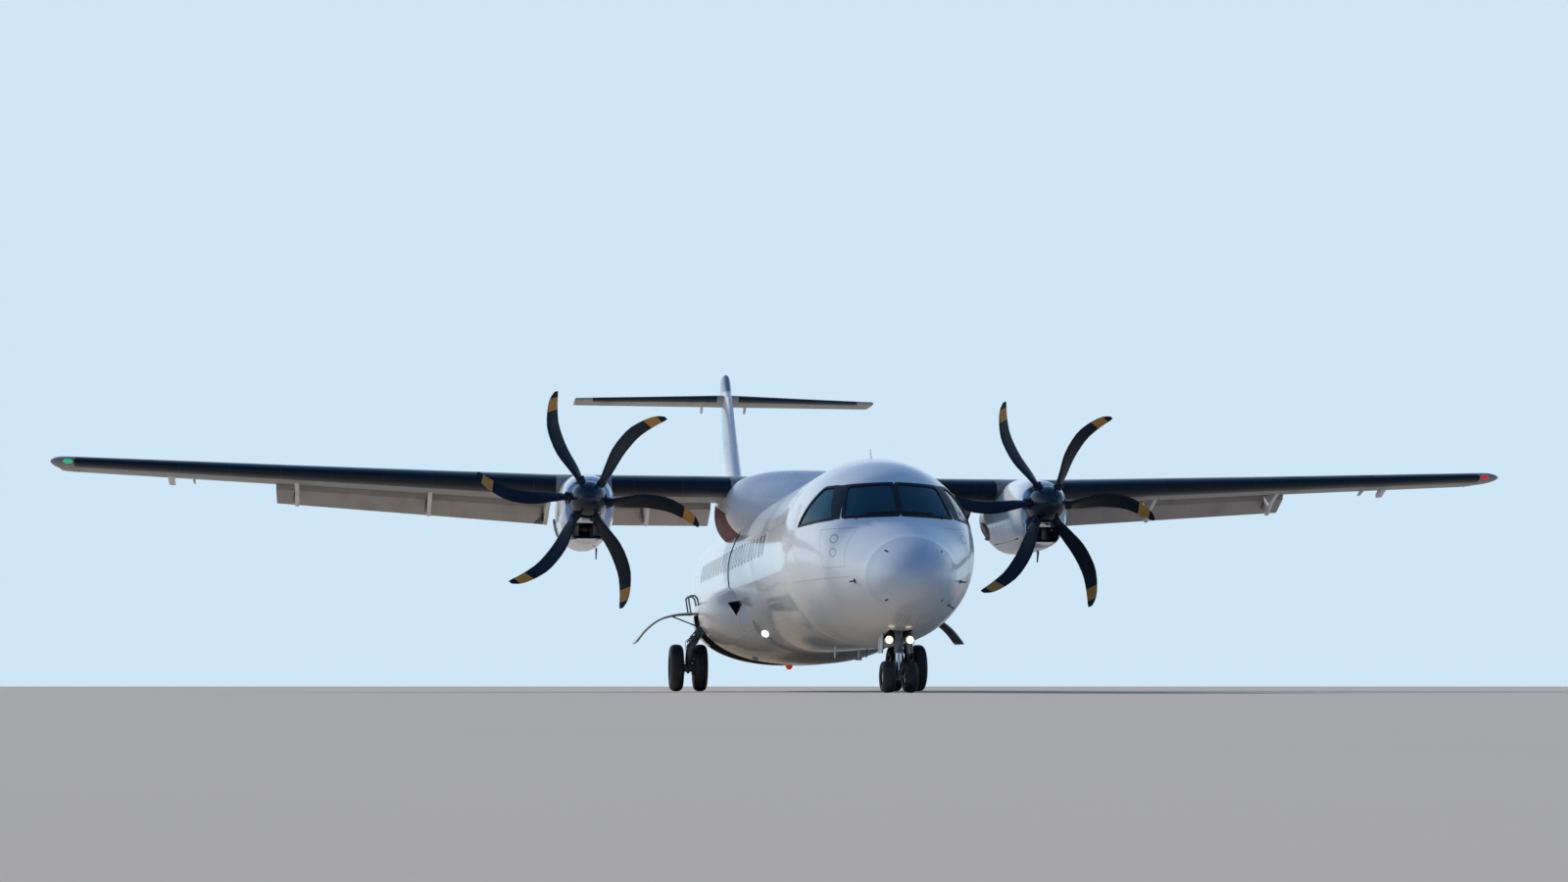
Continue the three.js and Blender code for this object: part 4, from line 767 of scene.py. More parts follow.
# The left air inlet in the front of the belly, as distance from the middle and height
INLET = ((1.29, 1.6), (1.54, 1.57), (1.41, 1.32))
INLET_START = 9.8
INLET_END = 10.76

ROOT_CHORD = 2.57
TIP_CHORD = 1.59
WING_STATION = 11.43
WING_HEIGHT = 3.7
CAMBER = 0.02
INCIDENCE = math.radians(2)
DIHEDRAL = math.tan(math.radians(2.5))
SWEEP = math.tan(math.radians(3.1))
BREAK_X = 4.6
HALF_SPAN = 13.525
SECTION_POINTS = 22


def half_thickness(share, thickness):
    x = min(max(share, 0), 1)
    curve = 0.2969 * math.sqrt(x) - 0.126 * x - 0.3516 * x**2 + 0.2843 * x**3 - 0.1036 * x**4
    return 5 * thickness * curve + 0.002 * x


def height_on(side, share, thickness, camber):
    return 4 * camber * share * (1 - share) + side * half_thickness(share, thickness)


def aerofoil(thickness, camber=0):
    """A section's outline as shares of its chord, from the trailing edge over the top and back below."""
    shares = [(1 - math.cos(math.pi * i / SECTION_POINTS)) / 2 for i in range(SECTION_POINTS + 1)]
    top = [(x, height_on(1, x, thickness, camber)) for x in reversed(shares)]
    return top + [(x, height_on(-1, x, thickness, camber)) for x in shares[1:]]


def outboard(x):
    return max(abs(x) - BREAK_X, 0) / (HALF_SPAN - BREAK_X)


def wing_chord(x):
    return ROOT_CHORD + (TIP_CHORD - ROOT_CHORD) * outboard(x)


def wing_thickness(x):
    return 0.18 - 0.05 * outboard(x)


def wing_point(x, aft, up):
    """A point of the wing, aft of its leading edge and above its chord line."""
    out = max(abs(x) - BREAK_X, 0)
    return place(
        x,
        WING_STATION + SWEEP * out + aft * math.cos(INCIDENCE) + up * math.sin(INCIDENCE),
        WING_HEIGHT + DIHEDRAL * out - aft * math.sin(INCIDENCE) + up * math.cos(INCIDENCE),
    )


def wing_height(side, x, share):
    """The height of the wing's upper side (1), lower side (-1) or middle line (0) above its chord line."""
    return wing_chord(x) * height_on(side, share, wing_thickness(x), CAMBER)


def wing_outline(x, scale=1, flatten=1):
    chord = wing_chord(x) * scale
    start = (wing_chord(x) - chord) * 0.55
    section = aerofoil(wing_thickness(x) * flatten, CAMBER)
    return [wing_point(x, start + u * chord, w * chord) for u, w in section]


def sweep(outlines):
    """A closed skin through outlines that have as many points as each other."""
    along, around = len(outlines) - 1, len(outlines[0])
    return roll(along, around, lambda u, v: outlines[round(u * along)][round(v * around) % around])


def bar(corners, low, high):
    """A bar along the aircraft between two stations, from an outline of distances and heights."""
    return sweep([[place(x, s, z) for x, z in corners] for s in (low, high)])


def along_wing(outline, start, end):
    return sweep([[wing_point(x, u, w) for u, w in outline(x)] for x in (start, end)])


def wing_envelope():
    return sweep([wing_outline(x, 1.001) for x in (-BREAK_X, BREAK_X)])


def fairing_skin(table, grow=0, power=2.3, along=40, x=0):
    first, last = table[0][0], table[-1][0]

    def surface(u, v):
        return oval(table, first + u * (last - first), 2 * math.pi * v, grow, power, x)

    return roll(along, ROUND, surface)


root_fairing = fairing_skin(ROOT_FAIRING, 0, 2.6)
carve(root_fairing, fuselage_skin(9.5, 16.2, -0.004, 12))
carve(root_fairing, wing_envelope())

# Wine red paint on the fairing's lower flank behind the wing, with a hard edge that rises aft
look = Look("root_fairing_paint")
edge = look.z - 3.4 - (look.y + 0.9) * 0.16
patch = (edge < 0) * (look.y > -1.9) * (look.y < 1.7)
white = look.mix(look.noise(1.1, 5).ease(0.4, 0.75) * 0.2, (0.76, 0.78, 0.8), (0.5, 0.47, 0.43))
root_paint = look.finish(
    base_color=look.mix(patch, white, (0.13, 0.014, 0.024)),
    roughness=look.noise(3, 4) * 0.2 + 0.18 + patch * 0.3,
    coat_weight=0.6 - patch * 0.6,
    coat_roughness=0.06,
    normal=look.bump(look.noise(1.5, 2), 0.001, 0.3),
)
fit(root_fairing, "wing_root_shell", "airframe", "fairing_composite", root_paint, "wing_root_fairing")


# White paint over the belly, dirty where the wheels and the slipstream throw up grime, with painted shade
# that darkens it towards the bottom and makes its wells near black
def wells(look):
    """1 in the wheels' wells, the legs' slots and the slanting corners between them."""
    past_slant = look.aft - 11.849 - (look.out - 1.6).most(0) * 0.6 > 0
    corner = inside_box(look, 1.499, 2.1, 11.849, 12.4, 0.3, SLANT_TOP + 0.001) * past_slant
    return (corner + hollow(look, *WHEEL_WELL) + hollow(look, *LEG_SLOT)).least(1)


def inlet_tool(inset, end):
    """A prism along the aircraft on the outline of the left air inlet."""
    corners = [place(x, INLET_START, z) for x, z in spread(INLET, -inset)]
    return plate(corners, Vector((0, end - INLET_START, 0)), 0.03)


belly = fairing_skin(BELLY_FAIRING)
for x in (-0.95, 0.95):
    carve(belly, rod(place(x, 11.4, 0.56), place(x, 11.4, 0.71), 0.06), "UNION")
carve(belly, fuselage_skin(9.5, 16.2, -0.004, 12))
for x0, x1, s0, s1, top in (WHEEL_WELL, LEG_SLOT):
    carve_both(belly, box(place(x0, s0, 0.2), place(x1, s1, top)))
carve_both(belly, plate([place(x, s, 0.2) for x, s in SLANT], UP * (SLANT_TOP - 0.2)))
carve_both(belly, inlet_tool(0, INLET_END))
# The last colour serves both the grime and the painted shade towards the bottom.
belly_paint = gloss_paint("belly_paint", (0.74, 0.74, 0.73), wells, (0.3, 0.26, 0.22))
fit(belly, "belly_shell", "airframe", "fairing_composite", belly_paint, "belly_fairing")
# Painted shade: a near-black lining inside each air inlet.
duct = carve(inlet_tool(0.001, INLET_END - 0.005), fairing_skin(BELLY_FAIRING, -0.01), "INTERSECT")
carve(duct, inlet_tool(0.012, INLET_END - 0.06))
fit(together(duct, mirrored(duct)), "inlet_ducts", "airframe", "fairing_composite", black_rubber)


# The wing: light alloy and carbon fibre painted a warm grey, with black rubber boots along the leading
# edge that swell to break off ice. Under it are rows of oval covers over the fuel tanks.
FLAP_FROM = 0.7
SHROUD_TO = 0.8
SHROUD_THICK = 0.012
FLAP_PIVOT = 0.17
FLAP_DOWN = math.radians(30)
# How far the ends of each flap and its hinges are from the aircraft's middle
INNER_FLAP = (1.56, 3.49, (2.82,))
OUTER_FLAP = (4.64, 9.65, (4.7, 6.86, 9.26))
AILERON = (9.75, 13.18)
AILERON_HINGE = 0.72
CLEAR = 0.008
# The wing tip's outlines: distance from the middle, size and thickness as shares
TIP = ((13.23, 1, 1), (13.36, 0.985, 0.97), (13.44, 0.95, 0.86), (13.5, 0.88, 0.64), (HALF_SPAN, 0.78, 0.35))


def fluid_streaks(look, stretch=0.12, scale=1.6):
    """Streaks of dirt and fluid that stream aft."""
    return look.noise(scale, 6, (1, stretch, 1)).ease(0.5, 0.8)


look = Look("wing_paint")
beyond = (look.out - BREAK_X).most(0)
behind_edge = look.aft - WING_STATION - beyond * SWEEP
boot = (behind_edge < 0.27 - beyond * 0.008) * (look.out > 1.38) * (look.out < 13.08)
boot = boot * (abs(look.out - 4.05) > 0.5)
boot_seam = line_mask((look.out - 0.45).apart(0.9), 0.009, 0.004)
boot_shade = look.mix(boot_seam, (0.003, 0.011, 0.02), (0.016, 0.026, 0.038))
spars = abs(behind_edge - 0.4).least(abs(behind_edge - 1.55))
lines = line_mask((look.out - 0.35).apart(0.61).least(spars))
cover = ((look.out - 0.045).apart(0.61) / 0.17) ** 2 + ((behind_edge - 0.98) / 0.1) ** 2
cover_rim = line_mask(abs(cover - 1), 0.12, 0.04)
fluid = fluid_streaks(look)
grey = look.mix(fluid * 0.5, (0.29, 0.28, 0.26), (0.17, 0.15, 0.125))
grey = look.mix(lines.most(cover_rim) * 0.4, grey, (0.1, 0.1, 0.1))
wing_paint = look.finish(
    base_color=look.mix(boot, grey, boot_shade),
    roughness=boot * -0.05 + fluid * 0.15 + 0.38,
    specular_ior_level=0.28,
    normal=look.bump(look.noise(1.6, 3) * 0.4 - lines - cover_rim * 0.6, 0.0012, 0.35),
)


def flap_bay(x):
    """The space behind the rear spar, below the shroud that lies over a flap."""
    chord = wing_chord(x)
    front, shroud = FLAP_FROM * chord - CLEAR, SHROUD_TO * chord
    over_front, over_end = (
        wing_height(1, x, share) - SHROUD_THICK * chord for share in (FLAP_FROM, SHROUD_TO)
    )
    return [(front, -chord), (1.3 * chord, -chord), (1.3 * chord, chord), (shroud, chord), (shroud, over_end),
            (front, over_front)]


def half_round(aft, up, radius):
    """A half round front about a hinge."""
    arc = [math.pi / 2 + math.pi * i / 12 for i in range(13)]
    return [(aft + radius * math.cos(a), up + radius * math.sin(a)) for a in arc]


def hinge_bay(aft, up, radius, reach):
    """An open box behind a hinge, with a half round front about the hinge."""
    end = aft + 2 * reach
    behind = [(aft, up - reach), (end, up - reach), (end, up + reach), (aft, up + reach)]
    return half_round(aft, up, radius) + behind


def hinged_outline(chord, hinge, thickness, camber=0):
    """The section of a control surface with a round nose about its hinge."""
    middle = height_on(0, hinge, thickness, camber) * chord
    nose = half_round(hinge * chord, middle, half_thickness(hinge, thickness) * chord)
    upper, lower = (height_on(side, 1, thickness, camber) * chord for side in (1, -1))
    return [(chord, upper), *nose, (chord, lower)]


def aileron_bay(x):
    chord = wing_chord(x)
    radius = half_thickness(AILERON_HINGE, wing_thickness(x)) * chord + CLEAR
    return hinge_bay(AILERON_HINGE * chord, wing_height(0, x, AILERON_HINGE), radius, 0.6 * chord)


def aileron_pivot(x):
    return wing_point(x, AILERON_HINGE * wing_chord(x), wing_height(0, x, AILERON_HINGE))


def flap_hinge(x):
    """The chord, and how far aft and up a flap's pivot is."""
    chord = wing_chord(x)
    return chord, FLAP_FROM * chord, -FLAP_PIVOT * chord


def flap_pivot(x):
    return wing_point(x, *flap_hinge(x)[1:])


def hinge_line(flap):
    return (flap_pivot(flap[1]) - flap_pivot(flap[0])).normalized()


def hinge_plate(flap, x, start, end, outline):
    """A plate square to a flap's hinge line, drawn as aft and up, between two distances along the line."""
    along, pivot = hinge_line(flap), flap_pivot(x)
    points = [wing_point(x, u, w) for u, w in outline]
    return sweep([[p + along * (along.dot(pivot - p) + distance) for p in points]
                  for distance in (start, end)])


def flap_bracket(flap, x):
    chord, u, w = flap_hinge(x)
    outline = [(0.42 * chord, -0.045 * chord), (0.56 * chord, w * 0.78), (u - 0.036, w - 0.048),
               (u + 0.024, w - 0.054), (u + 0.06, w), (u - 0.014, -0.05 * chord), (u - 0.014, -0.03 * chord)]
    along, pivot = hinge_line(flap), flap_pivot(x)
    boss = rod(pivot - along * 0.033, pivot + along * 0.0305, 0.04, bevel=0.004)
    return [hinge_plate(flap, x, -0.025, 0.025, outline), boss]


def flap_arm(flap, x):
    chord, u, w = flap_hinge(x)
    outline = [(u - 0.048, w), (u, w - 0.06), (u + 0.06, w - 0.03), (0.9 * chord, -0.012 * chord),
               (0.75 * chord, -0.03 * chord)]
    return hinge_plate(flap, x, 0.031, 0.071, outline)


def flap_outline(x):
    """A flap's section as it lies in its bay, its round nose under the shroud."""
    chord = wing_chord(x)
    step = SHROUD_THICK * chord + CLEAR
    top, bottom = (functools.partial(wing_height, side, x) for side in (1, -1))
    middle = (top(0.71) + bottom(0.71)) / 2
    nose = top(0.71) - step - middle
    arc = [math.pi * i / 8 for i in range(1, 8)]
    front = [((0.745 - 0.042 * math.sin(a)) * chord, middle + nose * math.cos(a)) for a in arc]
    shroud = SHROUD_TO * chord + CLEAR
    return [(chord, top(1)), (0.9 * chord, top(0.9)), (shroud + 0.004, top(0.81)),
            (shroud, top(SHROUD_TO) - step - 0.004), (0.745 * chord, top(0.745) - step), *front,
            (0.745 * chord, bottom(0.745)), (0.85 * chord, bottom(0.85)), (chord, bottom(1))]


def lowered_flap(flap):
    """A flap with its arms, turned down about the line through its pivots."""
    piece = together(along_wing(flap_outline, *flap[:2]), *(flap_arm(flap, x) for x in flap[2]))
    start = flap_pivot(flap[0])
    turn = Matrix.Rotation(-FLAP_DOWN, 4, hinge_line(flap))
    piece.data.transform(Matrix.Translation(start) @ turn @ Matrix.Translation(-start))
    return piece


def softened(piece, width=0.004, segments=2):
    """Rounds the sharp edges of a piece."""
    modifier = piece.modifiers.new("soft", "BEVEL")
    modifier.width = width
    modifier.segments = segments
    modifier.limit_method = "ANGLE"
    modifier.angle_limit = math.radians(40)
    pick(piece)
    bpy.ops.object.modifier_apply(modifier=modifier.name)
    return piece


def pivot_stubs(start, end, square, gap):
    """The round pivots of a control surface in the gaps beyond its ends, fixed in the structure there."""
    stubs = []
    for near, far in ((start, end), (end, start)):
        away = (near - far).normalized()
        first = 0.0005 + 0.012 * math.tan(math.acos(min(abs(away.dot(square)), 1)))
        stubs.append(rod(near + away * first, near + away * (first + 1.6 * gap), 0.012, sides=20))
    return stubs


wing_middle = sweep([wing_outline(x) for x in (-BREAK_X, -2.3, 0, 2.3, BREAK_X)])
carve_both(wing_middle, along_wing(flap_bay, INNER_FLAP[0] - 0.01, INNER_FLAP[1] + 0.01))
brackets = with_mirrored(flap_bracket(INNER_FLAP, INNER_FLAP[2][0]))
fit(together(wing_middle, *brackets), "wing_middle", "airframe", "wing_paint", wing_paint, "wing_centre")

wing_outer = sweep([wing_outline(*row) for row in ((BREAK_X + SEAM,), (9.0,), *TIP)])
carve(wing_outer, along_wing(flap_bay, BREAK_X - 0.05, OUTER_FLAP[1] + 0.04))
carve(wing_outer, along_wing(aileron_bay, AILERON[0] - 0.02, AILERON[1] + 0.02))
brackets = [part for x in OUTER_FLAP[2] for part in flap_bracket(OUTER_FLAP, x)]
stubs = pivot_stubs(*(aileron_pivot(x) for x in AILERON), Vector((1, 0, 0)), 0.02)
fit_pair(together(wing_outer, *brackets, *stubs), "wing_panel_{}", "airframe", "wing_paint", wing_paint,
         "wing_outer_{}")


# The flaps: hinged below the wing on brackets, and here down as for landing. The paint is lighter than
# the wing's, and black where each inner flap lies in an engine's exhaust.
look = Look("flap_paint")
soot = look.noise(1.8, 5, (1, 0.25, 1)).ease(0.42, 0.8)
inwards = look.x + (3.42 - look.z) * 1.1
near_jet = ((inwards > 3.49) * (look.x < 3.6)).most((inwards > -4.64) * (look.x < -4.5))
ribs = line_mask((look.out - 0.2).apart(0.48))
grey = look.mix(soot * 0.4, (0.36, 0.335, 0.315), (0.21, 0.18, 0.155))
grey = look.mix(ribs * 0.3, grey, (0.12, 0.12, 0.12))
flap_paint = look.finish(
    base_color=look.mix(near_jet, grey, (0.012, 0.02, 0.026)),
    roughness=soot * 0.2 + 0.36,
    coat_weight=0.2,
    normal=look.bump(look.noise(2, 3) * 0.4 - ribs, 0.001, 0.3),
)
for kind, flap in (("inner", INNER_FLAP), ("outer", OUTER_FLAP)):
    name = f"flap_{kind}_{{}}"
    fit_pair(lowered_flap(flap), f"{kind}_flap_{{}}", name, "wing_paint", flap_paint, name)


# The ailerons: skins of the flaps' colour on ribs, at the outer ends of the wing's trailing edge.
# Each is hinged on two pivots, and its round nose turns in a hollow along the wing.
def aileron_outline(x):
    return hinged_outline(wing_chord(x), AILERON_HINGE, wing_thickness(x), CAMBER)


fit_pair(along_wing(aileron_outline, *AILERON), "aileron_skin_{}", "aileron_{}", "wing_paint", flap_paint,
         "aileron_{}")


# The engine nacelles: smooth white cowlings with a polished lip. A rounded intake opens under each
# spinner, painted near black inside as painted shade, and soot streams aft of the exhaust on the aircraft's
# right side of each.
NACELLE = (
    (9.88, 3.3, 0.365, 0.71, 0.395),
    (10.02, 3.3, 0.43, 0.75, 0.455),
    (10.6, 3.29, 0.53, 0.77, 0.5),
    (11.45, 3.27, 0.62, 0.75, 0.5),
    (12.4, 3.25, 0.56, 0.69, 0.495),
    (13.2, 3.28, 0.38, 0.52, 0.45),
    (13.9, 3.33, 0.24, 0.33, 0.31),
    (14.35, 3.38, 0.07, 0.09, 0.07),
)
ENGINE_X = 4.05
ENGINE_Z = 3.3
NACELLE_START = 9.88
# The intake: half width, and height of its foot and its top
INTAKE = (0.27, 2.645, 2.915)
# Stations of the joints round the cowling, and the height of those along it
COWL_JOINTS = (10.36, 11.3, 12.45)
COWL_SIDE_JOINT = 3.02
SIDES = (("left", 1), ("right", -1))

look = Look("cowling_paint")
lip = look.aft < NACELLE_START + 0.035
half, low, high = INTAKE
# Painted shade: the walls inside the intake are painted near black.
painted_duct_shade = inside_box(look, ENGINE_X - half - 0.005, ENGINE_X + half + 0.005,
                     NACELLE_START + 0.02, NACELLE[-1][0], low - 0.01, high + 0.01)
first, middle, last = COWL_JOINTS
joints = abs(look.aft - first).least(abs(look.aft - middle)).least(abs(look.aft - last))
side_joint = abs(look.z - COWL_SIDE_JOINT).most(first - look.aft).most(look.aft - last)
lines = line_mask(joints.least(side_joint))
latches = (abs(abs(look.z - COWL_SIDE_JOINT) - 0.02) < 0.012) * ((look.aft - 0.1).apart(0.32) < 0.03)
latches = latches * (look.aft > first + 0.04) * (look.aft < last - 0.05)
jet = (1 - ((look.z - 3.0) / 0.42) ** 2).most(0) * look.aft.ease(12.7, 13.1)
soot = jet * look.noise(1.6, 6, (1, 0.15, 1)).ease(0.25, 0.7)
grime = fluid_streaks(look, 0.12, 2.0) * (1.3 - look.z.ease(2.4, 3.5))
shade = look.mix(grime * 0.3, (0.84, 0.86, 0.88), (0.42, 0.37, 0.32))
shade = look.mix(soot * 0.85, shade, (0.11, 0.085, 0.065))
shade = look.mix(lines.most(latches) * 0.55, shade, (0.14, 0.15, 0.16))
shade = look.mix(lip, shade, (0.82, 0.83, 0.84))
cowl_paint = look.finish(
    base_color=look.mix(painted_duct_shade, shade, (0.012, 0.014, 0.017)),
    metallic=lip * 0.9,
    roughness=soot * 0.5 + painted_duct_shade * 0.5 + 0.17,
    coat_weight=0.5,
    coat_roughness=0.05,
    normal=look.bump(look.noise(1.6, 2) * 0.4 - lines - latches * 0.5, 0.0012, 0.4),
)

look = Look("burnt_steel")
burnt_steel = look.finish(
    base_color=look.mix(look.noise(7, 5).ease(0.35, 0.7), (0.16, 0.12, 0.09), (0.33, 0.27, 0.23)),
    metallic=0.9,
    roughness=look.noise(12, 4) * 0.3 + 0.35,
)

EXHAUST_START = 12.15
EXHAUST_END = 12.98
EXHAUST_LEAN = -0.27 / (EXHAUST_END - EXHAUST_START)
EXHAUST_RADIUS = 0.175
EXHAUST_Z = 3.01


def nacelle_skin(x, grow=0):
    return fairing_skin(NACELLE, grow, 2.25, 36, x)


def exhaust_pipe(x, radius, start, end):
    """A length of the exhaust's own line, which slants outwards to the aircraft's right."""
    ends = [place(x - 0.23 + EXHAUST_LEAN * (s - EXHAUST_START), s, EXHAUST_Z) for s in (start, end)]
    return rod(*ends, radius, sides=48)


for name, side in SIDES:
    x = side * ENGINE_X
    cowling = nacelle_skin(x)
    carve(cowling, box(place(x - 0.37, 10.35, 2.72), place(x + 0.37, 12.3, 3.44)))
    intake = [place(x + dx, NACELLE_START - 0.1, z)
              for dx, z in ((-half, low), (-half, high), (half, high), (half, low))]
    carve(cowling, plate(intake, Vector((0, 0.72, 0)), 0.1))
    carve(cowling, exhaust_pipe(x, EXHAUST_RADIUS + SEAM, EXHAUST_START - SEAM, 13.4))
    carve(cowling, wing_envelope())
    splitter = box(place(x - 0.1, 9.862, 2.935), place(x + 0.1, 9.8997, 2.995), 0.008, 3)
    fit(together(softened(cowling, 0.006, 3), splitter), f"cowling_{name}", "airframe", "nacelle_composite",
        cowl_paint, f"nacelle_{name}")
    pipe = exhaust_pipe(x, EXHAUST_RADIUS, EXHAUST_START, EXHAUST_END)
    carve(pipe, exhaust_pipe(x, EXHAUST_RADIUS - 0.02, 12.4, 13.2))
    carve(pipe, nacelle_skin(x, 0.035), "INTERSECT")
    fit(softened(pipe, 0.005), f"exhaust_pipe_{name}", "airframe", "exhaust_steel", burnt_steel,
        f"exhaust_{name}")


# The engines: a reduction gearbox, a compressor and a hot section in one line, on four feet.
# They are castings and forgings of light alloy and steel, bolted to the nacelle's floor.
engine_metal = clouded(
    "engine_casing_metal", (4, 5), (0.4, 0.4, 0.39), (0.55, 0.54, 0.52), 0.3, (9, 4, 0.3), metallic=0.9)
CORE_Z = 3.17
# First and last station of each casing, and its radius
CASINGS = ((10.84, 11.2, 0.17), (11.18, 11.26, 0.205), (11.24, 11.7, 0.19), (11.68, 12.12, 0.2))

engine = [box(place(ENGINE_X - 0.26, 10.48, 2.98), place(ENGINE_X + 0.26, 10.86, 3.37), 0.05, 3)]
for s0, s1, radius in CASINGS:
    ends = (place(ENGINE_X, s, CORE_Z) for s in (s0, s1))
    engine.append(rod(*ends, radius, sides=40, bevel=0.012))
for x in (ENGINE_X - 0.22, ENGINE_X + 0.12):
    engine += [box(place(x, s, 2.7203), place(x + 0.1, s + 0.1, 3.05), 0.01) for s in (10.56, 11.96)]
fit_pair(together(*engine), "engine_core_{}", "airframe", "engine_metal", engine_metal, "engine_{}")


# The propellers: six swept blades of carbon fibre, nearly black, each with an orange band near its tip.
# A glossy spinner of the same colour covers the hub, with a round hole for each blade's root.
PROPELLER_RADIUS = 1.965
PROPELLER_STATION = 9.6
SPINNER_TIP = 9.13
SPINNER_RADIUS = 0.33
# Share of the radius, chord, sweep ahead of the tip, pitch, thickness
BLADE = (
    (0.19, 0.165, 5.5, 55, 0.5),
    (0.3, 0.25, 9, 47, 0.22),
    (0.48, 0.285, 12, 38, 0.12),
    (0.68, 0.27, 10, 31, 0.09),
    (0.85, 0.225, 5.5, 27, 0.08),
    (0.95, 0.165, 2.2, 25, 0.08),
    (1, 0.07, 0, 24, 0.1),
)
BLADE_SHARES = (0.19, 0.22, 0.26, 0.3, 0.36, 0.42, 0.48, 0.55, 0.62, 0.68, 0.74, 0.8, 0.85, 0.9, 0.93, 0.95,
                0.97, 0.985, 0.993)
FIRST_BLADE = {"left": 52.5, "right": 47}


def on_axis(x, station):
    return place(x, station, ENGINE_Z)


def blade_outline(x, tip_angle, share, shrink=1):
    chord, ahead, pitch, thickness = row_at(BLADE, share)
    chord *= shrink
    angle = tip_angle + math.radians(ahead)
    out = Vector((math.cos(angle), 0, math.sin(angle)))
    around = Vector((-math.sin(angle), 0, math.cos(angle)))
    along = around * math.cos(math.radians(pitch)) - Vector((0, math.sin(math.radians(pitch)), 0))
    across = along.cross(out).normalized()
    centre = out * share * PROPELLER_RADIUS + on_axis(x, PROPELLER_STATION)
    steps = [(1 - math.cos(math.pi * i / 10)) / 2 for i in range(11)]
    edge = [(u, 1) for u in reversed(steps)] + [(u, -1) for u in steps[1:-1]]
    return [centre + (along * (0.5 - u) + across * side * (half_thickness(u, thickness) + 0.004)) * chord
            for u, side in edge]


def blade(x, tip_angle):
    outlines = [blade_outline(x, tip_angle, share) for share in BLADE_SHARES]
    return sweep(outlines + [blade_outline(x, tip_angle, 0.998, 0.7)])


def shank(x, tip_angle, radius, end_radius):
    """The round root of a blade, or the space for one."""
    angle = tip_angle + math.radians(BLADE[0][2])
    out = Vector((math.cos(angle), 0, math.sin(angle)))
    middle = on_axis(x, PROPELLER_STATION)
    return rod(middle + out * 0.15, middle + out * 0.42, radius, end_radius, 32)


def spinner_shell(x):
    """A pointed dome with a hollow that opens to the rear."""
    length = NACELLE_START - 0.02 - SPINNER_TIP

    def surface(u, v):
        radius = SPINNER_RADIUS * math.sqrt(max(1 - abs(1 - min(u * u / 0.8, 1)) ** 2.2, 0))
        angle = 2 * math.pi * v
        across = Vector((math.cos(angle), 0, math.sin(angle)))
        return on_axis(x, SPINNER_TIP + u * u * length) + across * radius

    shell = roll(24, 72, surface)
    carve(shell, rod(on_axis(x, 9.4497), on_axis(x, 9.4801), 0.21, 0.305, 48))
    return carve(shell, rod(on_axis(x, 9.48), on_axis(x, 9.95), 0.305, sides=48))


look = Look("blade_composite")
from_axis = ((look.out - ENGINE_X) ** 2 + (look.z - ENGINE_Z) ** 2) ** 0.5
band = (from_axis > 1.66) * (from_axis < 1.86)
wear = look.noise(5, 6).ease(0.45, 0.8)
dark = look.mix(wear * 0.5, (0.002, 0.008, 0.016), (0.011, 0.022, 0.034))
orange = look.mix(wear * 0.4, (0.6, 0.26, 0.055), (0.32, 0.16, 0.05))
blade_paint = look.finish(
    base_color=look.mix(band, dark, orange),
    roughness=wear * 0.15 + 0.32,
    specular_ior_level=0.32,
    normal=look.bump(look.noise(3, 3), 0.0008, 0.3),
)
look = Look("spinner_gloss")
round_axis = (look.z - ENGINE_Z).math("ARCTAN2", look.out - ENGINE_X)
screws = (round_axis.apart(math.pi / 15) < 0.012) * (abs(look.aft - 9.83) < 0.005)
dark = look.mix(look.noise(3, 5), (0.003, 0.009, 0.018), (0.008, 0.016, 0.028))
spinner_paint = look.finish(
    base_color=look.mix(screws, dark, (0.3, 0.3, 0.3)),
    roughness=look.noise(4, 4) * 0.1 + 0.1,
)
for name, side in SIDES:
    x = side * ENGINE_X
    body = f"propeller_{name}"
    spinner = spinner_shell(x)
    parts = [rod(on_axis(x, 9.45), on_axis(x, 9.84), 0.19, sides=48, bevel=0.006),
             rod(on_axis(x, 9.835), on_axis(x, 9.8795), 0.11, sides=32)]
    for i in range(6):
        angle = math.radians(FIRST_BLADE[name] + 60 * i)
        parts += [blade(x, angle), shank(x, angle, 0.078, 0.078)]
        carve(spinner, shank(x, angle, 0.092, 0.118))
    fit(together(*parts), f"propeller_blades_{name}", body, "blade_composite", blade_paint, body)
    fit(softened(spinner, 0.003), f"spinner_dome_{name}", body, "spinner_composite", spinner_paint,
        f"spinner_{name}")


# The tail: a fin with a long ridge ahead of it and a rudder, and a tailplane with two elevators on top.
# Rubber boots cover the tailplane's leading edge, and a rounded cap closes the fin above it, painted dark
# blue as a painted reflection of the sky.
LENGTH = 27.166
FIN_THICKNESS = 0.11
# The fin's foot and top, and the stations of its front and its back at both
FIN_Z = (3, 7)
FIN_FRONT = (21.46, 24.95)
FIN_BACK = (26.18, 26.75)
FIN_RAKE = (FIN_FRONT[1] - FIN_FRONT[0]) / (FIN_Z[1] - FIN_Z[0])
RUDDER = (3.585, 6.76)
RUDDER_HINGE = 0.62
RUDDER_ROOM = 0.045
TAILPLANE_Z = 7
TAIL_HALF_SPAN = 3.655
TAIL_ROOT_CHORD = 1.91
TAIL_TIP_CHORD = 1.3
TAIL_TAPER = (TAIL_ROOT_CHORD - TAIL_TIP_CHORD) / TAIL_HALF_SPAN
TAIL_THICKNESS = 0.12
ELEVATOR = (0.26, 3.6)
ELEVATOR_CHORD = 0.58
# Height, station of the leading edge, chord and width as a share of the chord
FIN_CAP = (
    (7, 25.12, 1.83, 0.13),
    (7.12, 25.18, 1.76, 0.13),
    (7.48, 25.52, 1.33, 0.16),
    (7.61, 25.7, 1.08, 0.13),
    (7.65, 25.9, 0.76, 0.05),
)
# The ridge's outline, as station and height
RIDGE = ((18.8, 3.3), (19.3, 3.54), (21.8, 3.9), (23.2, 4.56), (22.6, 3.3))
